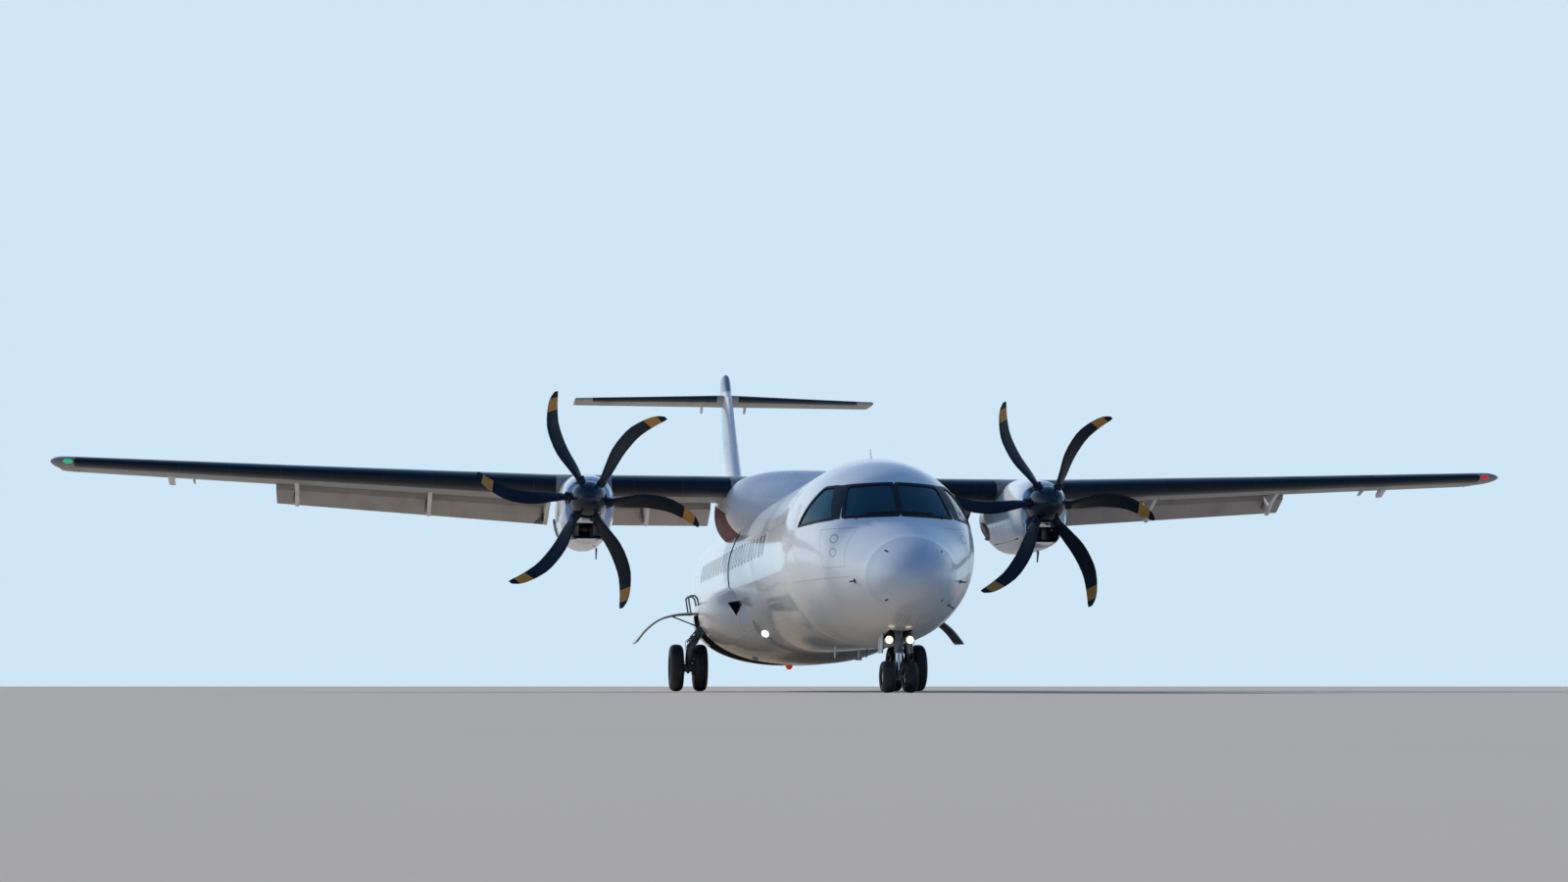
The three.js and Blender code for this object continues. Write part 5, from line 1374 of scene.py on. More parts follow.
# The tailplane's outlines from tip to tip: distance from the middle, thickness and size as shares
TAIL_HALF = ((0, 1, 1), (1.8, 0.852, 1), (3.62, 0.703, 1), (TAIL_HALF_SPAN, 0.35, 0.97))
TAIL_OUTLINES = [(-x, *shares) for x, *shares in TAIL_HALF[:0:-1]] + list(TAIL_HALF)


def fin_edges(z):
    """The station of the fin's leading edge at a height, and its chord."""
    share = (z - FIN_Z[0]) / (FIN_Z[1] - FIN_Z[0])
    front, back = (foot + share * (top - foot) for foot, top in (FIN_FRONT, FIN_BACK))
    return front, back - front


def up_fin(outline, start, end, steps=1):
    """A shape up the fin whose level outline, aft and across, is given for its chord."""
    outlines = []
    for i in range(steps + 1):
        z = start + (end - start) * i / steps
        front, chord = fin_edges(z)
        outlines.append([place(across, front + aft, z) for aft, across in outline(chord)])
    return sweep(outlines)


def tail_chord(x):
    return TAIL_ROOT_CHORD - TAIL_TAPER * abs(x)


def tail_outline(x, flatten=1, scale=1):
    chord = tail_chord(x)
    shift = chord * (1 - scale) / 2
    return [place(x, LENGTH - chord + shift + u * chord * scale, TAILPLANE_Z + w * chord)
            for u, w in aerofoil(TAIL_THICKNESS * flatten)]


def along_tail(outline, start, end):
    """A shape along the tailplane whose outline is given for a chord and its hinge as a share of it."""
    outlines = []
    for x in (start, end):
        chord = tail_chord(x)
        points = outline(chord, 1 - ELEVATOR_CHORD / chord)
        outlines.append([place(x, LENGTH - chord + u, TAILPLANE_Z + w) for u, w in points])
    return sweep(outlines)


def fin_section(chord):
    return [(u * chord, w * chord) for u, w in aerofoil(FIN_THICKNESS)]


def rudder_bay(chord):
    radius = half_thickness(RUDDER_HINGE, FIN_THICKNESS) * chord + CLEAR + 0.006
    return hinge_bay(RUDDER_HINGE * chord, 0, radius, chord)


def rudder_outline(chord):
    return hinged_outline(chord, RUDDER_HINGE, FIN_THICKNESS)


def rudder_pivot(z):
    front, chord = fin_edges(z)
    return place(0, front + RUDDER_HINGE * chord, z)


def elevator_bay(chord, hinge):
    return hinge_bay(hinge * chord, 0, half_thickness(hinge, TAIL_THICKNESS) * chord + CLEAR, 0.7)


def elevator_outline(chord, hinge):
    return hinged_outline(chord, hinge, TAIL_THICKNESS)


def tail_envelope():
    return sweep([tail_outline(x, 1.006) for x in (-0.7, 0, 0.7)])


look = Look("tailplane_paint")
behind_edge = look.aft - (LENGTH - TAIL_ROOT_CHORD) - look.out * TAIL_TAPER
boot = (behind_edge < 0.17) * (look.out > 0.26) * (look.out < 3.23)
streaks = fluid_streaks(look)
lines = line_mask((look.out - 0.3).apart(0.66).least(abs(behind_edge - 0.33)))
grey = look.mix(streaks * 0.4, (0.36, 0.345, 0.32), (0.2, 0.175, 0.15))
grey = look.mix(lines * 0.4, grey, (0.1, 0.1, 0.1))
tail_paint = look.finish(
    base_color=look.mix(boot, grey, (0.003, 0.011, 0.02)),
    roughness=streaks * 0.15 + 0.38,
    specular_ior_level=0.35,
    normal=look.bump(look.noise(2, 3) * 0.4 - lines, 0.001, 0.3),
)

look = Look("fin_paint")
behind_edge = look.aft - FIN_FRONT[0] - (look.z - FIN_Z[0]) * FIN_RAKE
spars = abs(behind_edge - 0.45).least(abs(behind_edge - 1.6))
lines = line_mask((look.z - 0.2).apart(0.7).least(spars))
dirt = fluid_streaks(look, 0.2, 1.4)
white = look.mix(dirt * 0.2, (0.82, 0.84, 0.86), (0.48, 0.44, 0.4))
white = look.mix(lines * 0.4, white, (0.2, 0.2, 0.2))
# Painted reflection: above the fin's top the cap is dark blue, for the dark sky that it reflects.
fin_paint = look.finish(
    base_color=look.mix(look.z.ease(7.12, 7.2) * 0.85, white, (0.09, 0.15, 0.24)),
    roughness=dirt * 0.15 + 0.22,
    coat_weight=0.55,
    coat_roughness=0.06,
    normal=look.bump(look.noise(1.6, 2) * 0.4 - lines, 0.0012, 0.35),
)

fin = up_fin(fin_section, *FIN_Z, 6)
ridge = plate([place(-0.045, s, z) for s, z in RIDGE], Vector((0.09, 0, 0)))
carve(fin, softened(ridge, 0.035, 4), "UNION")
carve(fin, up_fin(rudder_bay, RUDDER[0] - RUDDER_ROOM, RUDDER[1] + RUDDER_ROOM))
carve(fin, fuselage_skin(18, 26.4, SEAM, 40))
carve(fin, tail_envelope())
stubs = pivot_stubs(*(rudder_pivot(z) for z in RUDDER), UP, RUDDER_ROOM)
fit(together(fin, *stubs), "fin_skin", "airframe", "tail_composite", fin_paint, "fin")
fit(up_fin(rudder_outline, *RUDDER), "rudder_skin", "rudder", "tail_composite", fin_paint, "rudder")

cap_outlines = []
foot, top = FIN_CAP[0][0], FIN_CAP[-1][0]
for i in range(13):
    z = foot + (top - foot) * math.sin(math.pi / 2 * i / 12)
    station, chord, width = row_at(FIN_CAP, min(z, top - 0.0001))
    cap_outlines.append([place(w * chord, station + u * chord, z) for u, w in aerofoil(width)])
cap = carve(sweep(cap_outlines), tail_envelope())
fit(cap, "fin_cap_skin", "airframe", "tail_composite", fin_paint, "fin_cap")

tailplane = sweep([tail_outline(*row) for row in TAIL_OUTLINES])
carve_both(tailplane, along_tail(elevator_bay, ELEVATOR[0] - 0.02, ELEVATOR[1] + 0.02))
elevator_ends = [place(x, LENGTH - ELEVATOR_CHORD, TAILPLANE_Z) for x in ELEVATOR]
stubs = with_mirrored(pivot_stubs(*elevator_ends, Vector((1, 0, 0)), 0.02))
fit(together(tailplane, *stubs), "tailplane_skin", "airframe", "tail_composite", tail_paint, "tailplane")
fit_pair(along_tail(elevator_outline, *ELEVATOR), "elevator_skin_{}", "elevator_{}", "tail_composite",
         tail_paint, "elevator_{}")


# The wheels: forged light-alloy rims bolted in pairs to an axle, and tyres with grooves round the tread.
# The grooves carry water away; the sidewalls bulge a little and are matt.
# Radius, half width, radius of the rim, distance from the pair's middle, radius of the axle
NOSE_WHEEL = (0.225, 0.095, 0.118, 0.16, 0.029)
MAIN_WHEEL = (0.432, 0.125, 0.215, 0.22, 0.048)
NOSE_GEAR = 1.88
MAIN_GEAR = 12.65
HALF_TRACK = 2.05
NOSE_AXLE = place(0, NOSE_GEAR, NOSE_WHEEL[0])
MAIN_AXLE = place(HALF_TRACK, MAIN_GEAR, MAIN_WHEEL[0])
GROOVE = 0.007
GROOVES = (0.16, 0.44)
WHEEL_BOLTS = 9


def round_x(radius, angle, x=0):
    """A vector out from a line along X."""
    return Vector((x, radius * math.cos(angle), radius * math.sin(angle)))


def turned(profile, centre, sides=56):
    """A closed piece turned about a line along X from a profile of radius and distance."""
    last = len(profile) - 1

    def surface(u, v):
        radius, across = profile[round(u * last)]
        return centre + round_x(radius, 2 * math.pi * v, across)

    return roll(last, sides, surface)


def tyre_profile(wheel):
    radius, half, rim = wheel[:3]
    middle = rim + 0.45 * (radius - rim)

    def tread(share, depth=0.0):
        return middle + (radius - middle) * (1 - share**2.8) ** (1 / 2.4) - depth, share * half

    side = [tread(0)]
    for share in GROOVES:
        floor_of_groove = [tread(share + step, GROOVE) for step in (0.012, 0.058)]
        side += [tread(share), *floor_of_groove, tread(share + 0.07)]
    side += [tread(share) for share in (0.6, 0.7, 0.79, 0.87, 0.93, 0.97, 1)]
    for degrees in (25, 50, 72, 90):
        angle = math.radians(degrees)
        inward = (middle - rim - SEAM) * math.sin(angle)
        side.append((middle - inward, half * (0.68 + 0.32 * math.cos(angle))))
    other = [(r, -a) for r, a in reversed(side[1:])]
    return other + side + other[:1]


def hub_profile(wheel):
    """From the cap of one wheel along the axle to the cap of the other."""
    _, half, rim, offset, axle = wheel
    near, far = offset - 0.62 * half, offset + 0.62 * half
    side = [
        (axle, near + 0.3 * half), (rim * 0.8, near + 0.02 * half), (rim * 0.85, near), (rim * 0.97, near),
        (rim, near + 0.04 * half), (rim, far - 0.04 * half), (rim * 0.985, far), (rim * 0.91, far),
        (rim * 0.87, far - 0.05 * half), (rim * 0.82, far - 0.34 * half), (rim * 0.62, far - 0.45 * half),
        (axle * 1.62, far - 0.32 * half), (axle * 1.5, far - 0.05 * half), (axle * 1.4, far + 0.07 * half),
        (axle * 1.1, far + 0.1 * half), (0, far + 0.1 * half),
    ]
    return [(r, -a) for r, a in reversed(side)] + side


def wheel_bolts(wheel, centre):
    _, half, rim, offset, _ = wheel
    bolts = []
    for i in range(WHEEL_BOLTS):
        for way in (-1, 1):
            ends = [centre + round_x(rim * 0.7, 2 * math.pi * i / WHEEL_BOLTS, way * (offset + share * half))
                    for share in (0.16, 0.32)]
            bolts.append(rod(*ends, rim * 0.045, sides=6))
    return bolts


look = Look("tyre_rubber")
scuffs = look.noise(8, 6).ease(0.45, 0.75)
tyre_rubber = look.finish(
    base_color=look.mix(scuffs, (0.013, 0.014, 0.015), (0.04, 0.038, 0.035)),
    roughness=scuffs * 0.2 + 0.6,
    normal=look.bump(look.noise(120, 3), 0.0008, 0.4),
)
look = Look("wheel_rim_paint")
brake_dust = look.noise(6, 5).ease(0.4, 0.75)
rim_paint = look.finish(
    base_color=look.mix(brake_dust * 0.6, (0.62, 0.63, 0.64), (0.2, 0.18, 0.16)),
    metallic=0.5,
    roughness=brake_dust * 0.25 + 0.3,
)


def add_wheels(name, node, wheel, centre, body, tyre_nodes):
    """A pair of wheels. The first tyre's node is the one on the left."""
    hub = together(turned(hub_profile(wheel), centre), *wheel_bolts(wheel, centre))
    fit(hub, f"{name}_rims", body, "wheel_rim", rim_paint, node)
    for tyre_node, way in zip(tyre_nodes, (1, -1)):
        tyre = turned(tyre_profile(wheel), centre + Vector((way * wheel[3], 0, 0)))
        fit(tyre, f"{tyre_node}_rubber", body, "tyre", tyre_rubber, tyre_node)


add_wheels("nose_wheel", "nose_wheel_hub", NOSE_WHEEL, NOSE_AXLE, "nose_wheels",
           ("nose_wheel_tyre_left", "nose_wheel_tyre_right"))
for name, side in SIDES:
    tyres = [f"main_wheel_tyre_{name}_outer", f"main_wheel_tyre_{name}_inner"]
    centre = Vector((side * HALF_TRACK, *MAIN_AXLE.yz))
    add_wheels(f"main_wheel_{name}", f"main_wheel_hub_{name}", MAIN_WHEEL, centre, f"main_wheels_{name}",
               tyres[::side])


# The nose gear: a steel strut in its bay with a brace behind it and a bar of two lamps, and below it the part
# that steers, with a chromed piston, torque links and a lug for the tow bar. Rigid pipes run down the back.
look = Look("gear_enamel")
grime = look.noise(7, 6).ease(0.4, 0.75)
gear_enamel = look.finish(
    base_color=look.mix(grime, (0.2, 0.21, 0.22), (0.06, 0.055, 0.05)),
    roughness=grime * 0.25 + 0.38,
    metallic=0.15,
    normal=look.bump(look.noise(30, 4), 0.001, 0.3),
)
chrome = clouded(
    "chromed_steel", (6, 4), (0.62, 0.63, 0.65), (0.75, 0.76, 0.78), 0.1, (14, 4, 0.12), metallic=1.0)

# Bars of the nose leg, as across, aft of the leg and height of both ends, radius, end radius, sides, bevel
NOSE_LEG = (
    ((0, 0, 0.62), (0, 0, 1.0497), 0.055, None, 36, 0.004),
    ((0, 0, 0.6205), (0, 0, 0.66), 0.062, None, 36, 0.004),
    ((0, 0, 0.7), (0, 0, 0.79), 0.062, None, 36, 0.004),
    ((0, 0, 0.98), (0, 0, 1.0497), 0.062, None, 36, 0.004),
    ((0, 0.04, 0.73), (0, 0.4, 1.02), 0.024, None, 20, 0),
    ((0, 0.4, 0.99), (0, 0.4, 1.0497), 0.034, None, 24, 0.003),
    ((-0.15, -0.03, 0.745), (0.15, -0.03, 0.745), 0.02, None, 20, 0),
    ((-0.085, 0, 0.9), (0.085, 0, 0.9), 0.022, None, 20, 0.003),
)
# The lamp's housing and the link on the left side
NOSE_LEG_LEFT = (
    ((0.15, -0.094, 0.745), (0.15, -0.01, 0.745), 0.062, 0.036, 36, 0.004),
    ((0.05, 0.02, 0.68), (0.13, 0.14, 0.86), 0.009, None, 12, 0),
)
# The part that steers: collar, fork head, torque links with their pin, and the lug round the axle
NOSE_FORK = (
    ((0, 0, 0.56), (0, 0, 0.6195), 0.062, None, 36, 0.004),
    ((0, 0, 0.225), (0, 0, 0.33), 0.048, 0.04, 32, 0.004),
    ((0, 0.05, 0.575), (0, 0.17, 0.44), 0.02, None, 16, 0),
    ((0, 0.17, 0.44), (0, 0.04, 0.29), 0.02, None, 16, 0),
    ((-0.045, 0.17, 0.44), (0.045, 0.17, 0.44), 0.014, None, 16, 0.002),
    ((-0.052, 0, 0.225), (0.052, 0, 0.225), 0.046, None, 36, 0.004),
)
# The webs of the torque links on the left side
NOSE_FORK_LEFT = (
    ((0.03, 0.05, 0.57), (0.021, 0.165, 0.45), 0.009, None, 12, 0),
    ((0.021, 0.165, 0.43), (0.03, 0.045, 0.3), 0.009, None, 12, 0),
)
# Points down each pipe and wire behind the leg, and its radius
NOSE_PIPES = (
    (((0.03, 0.06, 0.98), (0.05, 0.085, 0.86), (0.045, 0.08, 0.74), (0.03, 0.07, 0.65)), 0.008),
    (((-0.04, 0.05, 1.0), (-0.062, 0.07, 0.88), (-0.05, 0.075, 0.76), (-0.03, 0.068, 0.64)), 0.006),
    (((0.14, -0.01, 0.75), (0.11, 0.03, 0.79), (0.06, 0.035, 0.84), (0.05, 0.03, 0.93)), 0.004),
    (((-0.14, -0.01, 0.75), (-0.11, 0.03, 0.79), (-0.065, 0.035, 0.84), (-0.05, 0.03, 0.93)), 0.004),
)


def lamp_material(name, colour, strength):
    """Coloured glass over a lit lamp."""
    look = Look(name)
    glow = look.mix(look.noise(9, 2).ease(0.2, 0.8), [c * 0.8 for c in colour], colour)
    return look.finish(base_color=glow, roughness=0.12, emission_color=glow, emission_strength=strength)


def smooth_point(a, b, c, d, t):
    """A point between the second and the third of four points, on a smooth curve through them."""
    return (b * 2 + (c - a) * t + (a * 2 - b * 5 + c * 4 - d) * t**2 + (b * 3 - a - c * 3 + d) * t**3) / 2


def tube(points, radius, sides=10, steps=6):
    """A rigid pipe on a smooth curve through points."""
    padded = [points[0] * 2 - points[1], *points, points[-1] * 2 - points[-2]]
    path = [smooth_point(*padded[k:k + 4], i / steps) for k in range(len(points) - 1) for i in range(steps)]
    path.append(points[-1])
    last = len(path) - 1
    side = Vector((0.31, 0.17, 0.94))

    def surface(u, v):
        k = round(u * last)
        along = (path[min(k + 1, last)] - path[max(k - 1, 0)]).normalized()
        across = along.cross(side).normalized()
        angle = 2 * math.pi * v
        return path[k] + (across * math.cos(angle) + along.cross(across) * math.sin(angle)) * radius

    return roll(last, sides, surface)


def bars(rows, station=0):
    """Bars from a table, its stations counted from a given one."""
    return [rod(*(place(x, station + aft, z) for x, aft, z in row[:2]), *row[2:]) for row in rows]


def tubes(rows, station=0):
    return [tube([place(x, station + aft, z) for x, aft, z in points], radius) for points, radius in rows]


def axle_bore(axle, wheel):
    """The space of an axle through the middle of a leg, a little wider than the axle."""
    reach = Vector((0.2, 0, 0))
    return rod(axle - reach, axle + reach, wheel[4] + 2 * SEAM, sides=56)


brackets = bars(NOSE_LEG_LEFT, NOSE_GEAR)
brackets.append(box(place(0.03, NOSE_GEAR - 0.03, 0.86), place(0.07, NOSE_GEAR + 0.03, 0.94), 0.006))
nose_leg = together(*bars(NOSE_LEG, NOSE_GEAR), *with_mirrored(brackets))
fit(nose_leg, "nose_strut", "airframe", "gear_steel", gear_enamel, "nose_leg")
lens = bars([((0.15, -0.0995, 0.745), (0.15, -0.093, 0.745), 0.05, 0.056, 36, 0.002)], NOSE_GEAR)
fit(together(*with_mirrored(lens)), "nose_lamp_lenses", "airframe", "gear_steel",
    lamp_material("taxi_lamp", (1.0, 0.82, 0.55), 1.7))
fit(together(*tubes(NOSE_PIPES, NOSE_GEAR)), "nose_pipes", "airframe", "gear_steel", black_rubber)

tow_lug = box(place(-0.028, NOSE_GEAR - 0.09, 0.195), place(0.028, NOSE_GEAR - 0.03, 0.255))
fork = together(*bars(NOSE_FORK, NOSE_GEAR), tow_lug, *with_mirrored(bars(NOSE_FORK_LEFT, NOSE_GEAR)))
carve(fork, axle_bore(NOSE_AXLE, NOSE_WHEEL))
fit(fork, "nose_fork", "nose_steering", "gear_steel", gear_enamel, "nose_steering")
piston = rod(place(0, NOSE_GEAR, 0.31), place(0, NOSE_GEAR, 0.575), 0.0405, sides=40)
fit(piston, "nose_piston", "nose_steering", "gear_steel", chrome)

look = Look("nose_door_paint")
inner_face = look.out - 0.186 - (1 - look.z) * 0.0455 < 0.012
white = look.mix(look.noise(9, 5), (0.66, 0.66, 0.66), (0.5, 0.49, 0.47))
dark = look.mix(look.noise(9, 5), (0.03, 0.032, 0.035), (0.07, 0.07, 0.07))
nose_door_paint = look.finish(base_color=look.mix(inner_face, white, dark), roughness=0.4)
nose_door = bar(((0.186, 1), (0.206, 1), (0.226, 0.56), (0.206, 0.56)), 1.96, 2.32)
carve(nose_door, fuselage_skin(1.5, 2.6, SEAM, 12))
fit_pair(softened(nose_door, 0.006, 3), "nose_bay_door_{}", "airframe", "fuselage_paint", nose_door_paint,
         "nose_gear_door_{}")


# The main gear: each leg slants out from a trunnion in the belly to a knee, where an arm trails back to
# the axle. A shock absorber stands between them, with brakes, rigid pipes and links about them, all greasy.
TRUNNION_X = 1.74
TRUNNION_Z = 1.25
KNEE = place(2.04, 12.3, 0.81)
LEG_TOP = place(TRUNNION_X, 12.35, TRUNNION_Z)
# Bars along the left leg's trunnion: first and last station, and radius
TRUNNION = (
    (12.1503, 13.0497, 0.056),
    (12.1503, 12.2203, 0.062),
    (12.9797, 13.0497, 0.062),
    (12.26, 12.44, 0.088),
    (12.84, 12.96, 0.075),
)
# Other bars of the left leg, as distance from the middle, station and height of both ends, radius, end
# radius, sides and bevel: brace, shock absorber and its collars, knee pin, two ties, jacking point
MAIN_LEG = (
    ((TRUNNION_X, 12.9, TRUNNION_Z), (1.96, 12.33, 0.95), 0.032, 0.026, 24, 0),
    ((1.985, 12.36, 1.0), (2.02, 12.49, 0.73), 0.046, None, 32, 0.005),
    ((2.013, 12.468, 0.776), (2.023, 12.5, 0.709), 0.054, None, 36, 0.004),
    ((1.985, 12.36, 1.0), (1.99, 12.378, 0.962), 0.056, None, 36, 0.004),
    ((2.045, 12.575, 0.55), (2.05, 12.61, 0.48), 0.044, None, 28, 0.005),
    ((2.04, 12.24, 0.81), (2.04, 12.37, 0.81), 0.072, None, 36, 0.008),
    ((2.04, 12.225, 0.81), (2.04, 12.24, 0.81), 0.045, None, 6, 0),
    ((1.86, 12.33, 1.02), (1.99, 12.22, 0.88), 0.013, None, 14, 0),
    ((1.9, 12.45, 1.15), (2.1, 12.32, 0.9), 0.012, None, 14, 0),
    ((HALF_TRACK, MAIN_GEAR, 0.36), (HALF_TRACK, MAIN_GEAR, 0.325), 0.035, 0.018, 24, 0.004),
)
# Points down each pipe and wire of the left leg, and its radius
MAIN_PIPES = (
    (((1.83, 12.3, 1.2), (1.93, 12.22, 1.05), (2.0, 12.2, 0.92), (2.1, 12.27, 0.78), (2.11, 12.45, 0.63),
      (2.1, 12.6, 0.52)), 0.009),
    (((1.8, 12.4, 1.22), (1.93, 12.42, 1.1), (1.96, 12.5, 0.9), (1.965, 12.56, 0.68),
      (1.97, 12.62, 0.53)), 0.009),
    (((1.86, 12.26, 1.1), (1.9, 12.18, 0.98), (1.955, 12.19, 0.84), (1.97, 12.33, 0.73),
      (1.985, 12.5, 0.57)), 0.007),
    (((2.0, 12.27, 0.97), (2.12, 12.25, 0.93), (2.13, 12.3, 0.82), (2.1, 12.4, 0.7)), 0.005),
    (((1.99, 12.36, 1.01), (2.06, 12.38, 0.96), (2.08, 12.46, 0.8), (2.07, 12.55, 0.6)), 0.005),
)
# A pack of brake discs beside the leg: radius and distance from the leg
BRAKE_PACK = (
    (0.056, 0.0885), (0.15, 0.0885), (0.155, 0.094), (0.155, 0.108), (0.168, 0.11), (0.168, 0.118),
    (0.155, 0.12), (0.155, 0.128), (0.056, 0.128), (0.056, 0.0885),
)

lug_half = Vector((0.088, 0, 0))
sink = Vector((0, 0, -0.02))
leg_parts = bars(MAIN_LEG) + [
    rod(LEG_TOP, KNEE, 0.078, 0.062, 36),
    rod(LEG_TOP.lerp(KNEE, 0.3), LEG_TOP.lerp(KNEE, 0.42), 0.082, None, 36, 0.004),
    rod(LEG_TOP.lerp(KNEE, 0.7), LEG_TOP.lerp(KNEE, 0.78), 0.074, None, 36, 0.004),
    rod(KNEE, MAIN_AXLE, 0.062, 0.054, 32),
    rod(KNEE.lerp(MAIN_AXLE, 0.15) + sink, MAIN_AXLE + Vector((0, -0.05, -0.02)), 0.045, 0.03, 24),
    box(place(2.01, 12.235, 0.87), place(2.07, 12.3, 0.94), 0.008),
    rod(MAIN_AXLE - lug_half, MAIN_AXLE + lug_half, 0.078, None, 36, 0.004),
]
for s0, s1, radius in TRUNNION:
    ends = [place(TRUNNION_X, s, TRUNNION_Z) for s in (s0, s1)]
    leg_parts.append(rod(*ends, radius, None, 36, 0.004))
leg = carve(together(*leg_parts), axle_bore(MAIN_AXLE, MAIN_WHEEL))
fit_pair(leg, "main_strut_{}", "airframe", "gear_steel", gear_enamel, "main_leg_{}")
piston = rod(place(2.015, 12.47, 0.77), place(2.047, 12.59, 0.52), 0.026, sides=32)
fit_pair(piston, "shock_piston_{}", "airframe", "gear_steel", chrome)
fit_pair(together(*tubes(MAIN_PIPES)), "gear_pipes_{}", "airframe", "gear_steel", black_rubber)

packs = []
for way in (-1, 1):
    packs.append(turned([(r, way * a) for r, a in BRAKE_PACK], MAIN_AXLE, 48))
    for i in range(8):
        angle = math.pi * (i + 0.5) / 4
        ends = [MAIN_AXLE + round_x(0.115, angle, way * across) for across in (0.0665, 0.0915)]
        packs.append(rod(*ends, 0.017, sides=16))
fit_pair(together(*packs), "brakes_{}", "airframe", "gear_steel", burnt_steel)


# The legs' doors: thin curved panels that stand out from the fairing. The outside is painted white, and the
# inside has ribs and is grimy and dark. Bent hinge arms rise over each door's root to the fairing.
# The left door's outer face from its root to its tip, as distance from the middle and height
MAIN_DOOR = ((1.86, 1.44), (2.25, 1.425), (2.6, 1.33), (2.86, 1.14), (3.07, 0.88))
DOOR_FROM = 12.2
DOOR_TO = 13.0
# The outline of a hinge arm, as distance from the middle and height
HINGE_ARM = (
    (1.86, 1.5), (1.885, 1.5), (1.925, 1.69), (1.965, 1.735), (2.03, 1.735), (2.06, 1.7), (2.02, 1.432),
    (2.048, 1.43), (2.092, 1.71), (2.045, 1.766), (1.955, 1.768), (1.9, 1.71),
)


def door_line(share):
    """A point of the door's outer face, on a smooth curve from its root to its tip."""
    count = len(MAIN_DOOR) - 1
    k = min(int(share * count), count - 1)
    points = [Vector(MAIN_DOOR[min(max(i, 0), count)]) for i in range(k - 1, k + 3)]
    return smooth_point(*points, share * count - k)


def door_layer(from_share, to_share, start, end, near, far):
    """A stretch of the door between two distances inside its outer face."""
    steps = max(round((to_share - from_share) * 24), 2)
    upper, lower = [], []
    for i in range(steps + 1):
        share = from_share + (to_share - from_share) * i / steps
        point = door_line(share)
        ahead = door_line(min(share + 0.01, 1)) - door_line(max(share - 0.01, 0))
        inward = Vector((-abs(ahead.y), -abs(ahead.x))).normalized()
        upper.append(point + inward * near)
        lower.append(point + inward * far)
    return bar(upper + lower[::-1], start, end)


look = Look("gear_door_lining")
dirt = look.noise(5, 6).ease(0.4, 0.75)
door_lining = look.finish(
    base_color=look.mix(dirt, (0.13, 0.135, 0.14), (0.05, 0.045, 0.04)),
    roughness=0.6,
    normal=look.bump(look.noise(20, 4), 0.001, 0.3),
)
panel = carve(door_layer(0, 1, DOOR_FROM, DOOR_TO, 0, 0.02), fairing_skin(BELLY_FAIRING, SEAM))
ribs = [door_layer(0.06, 0.97, DOOR_FROM + 0.02, DOOR_TO - 0.02, 0.019, 0.026)]
for s in (12.24, 12.42, 12.6, 12.78, 12.94):
    ribs.append(door_layer(0.08, 0.95, s - 0.008, s + 0.008, 0.024, 0.036))
for share in (0.16, 0.42, 0.68, 0.92):
    ribs.append(door_layer(share, share + 0.014, DOOR_FROM + 0.03, DOOR_TO - 0.03, 0.024, 0.034))
arms = [rod(place(1.9, 12.6, 1.2), place(2.34, 12.6, 1.372), 0.013, sides=14)]
for s in (12.3, 12.86):
    arms.append(bar(HINGE_ARM, s - 0.014, s + 0.014))
    arms.append(rod(place(2.035, s - 0.03, 1.452), place(2.035, s + 0.03, 1.452), 0.018, sides=16))
fit_pair(softened(panel, 0.005), "gear_door_panel_{}", "airframe", "fairing_composite", white_paint,
         "main_gear_door_{}")
fit_pair(together(*ribs), "gear_door_ribs_{}", "airframe", "fairing_composite", door_lining)
fit_pair(together(*arms), "gear_door_arms_{}", "airframe", "gear_steel", gear_enamel)


# The cabin windows: small acrylic panes with round corners, dark from outside, in thin grey rims.
# One is cut from layers of the skin, and the rest are copies along both sides.
WINDOW_FIRST = 6.3
WINDOW_PITCH = 0.5
WINDOW_COUNT = 22
WINDOW_Z = 2.36
# Width, height, rounding of the corners, and outer and inner face counted from the skin
WINDOW_PANE = (0.23, 0.33, 0.09, 0.001, -0.003)
WINDOW_RIM = (0.28, 0.38, 0.11, 0.003, -0.002)
WINDOW_HOLE = (0.226, 0.326, 0.088, 0.01, -0.02)


def side_window(width, height, rounding, outside, inside):
    """The part of the skin inside a rounded outline at the first window on the left."""
    s0, s1 = (WINDOW_FIRST + way * width / 2 for way in (-1, 1))
    z0, z1 = (WINDOW_Z + way * height / 2 for way in (-1, 1))
    band = fuselage_skin(s0 - 0.05, s1 + 0.05, outside, 10)
    carve(band, fuselage_skin(s0 - 0.15, s1 + 0.15, inside, 10))
    corners = [place(0.5, s, z) for s, z in ((s0, z0), (s0, z1), (s1, z1), (s1, z0))]
    return carve(band, plate(corners, Vector((1.2, 0, 0)), rounding), "INTERSECT")


def along_cabin(first):
    """A window's part and its copies at every place on the left, joined."""
    row = [first] + [copied(first) for _ in range(WINDOW_COUNT - 1)]
    for i, piece in enumerate(row):
        piece.data.transform(Matrix.Translation((0, i * WINDOW_PITCH, 0)))
    return together(*row)


window_glass = clouded("cabin_window", (3, 3), (0.015, 0.022, 0.03), (0.035, 0.045, 0.055), 0.12,
                       coat_weight=0.6, coat_roughness=0.03)
rim_grey = clouded("window_rim_paint", (20, 4), (0.5, 0.52, 0.54), (0.6, 0.62, 0.64), 0.35)
panes = along_cabin(side_window(*WINDOW_PANE))
rims = along_cabin(carve(side_window(*WINDOW_RIM), side_window(*WINDOW_HOLE)))
fit_pair(panes, "cabin_panes_{}", "airframe", "cockpit_glass", window_glass)
fit_pair(rims, "cabin_window_rims_{}", "airframe", "fuselage_paint", rim_grey)


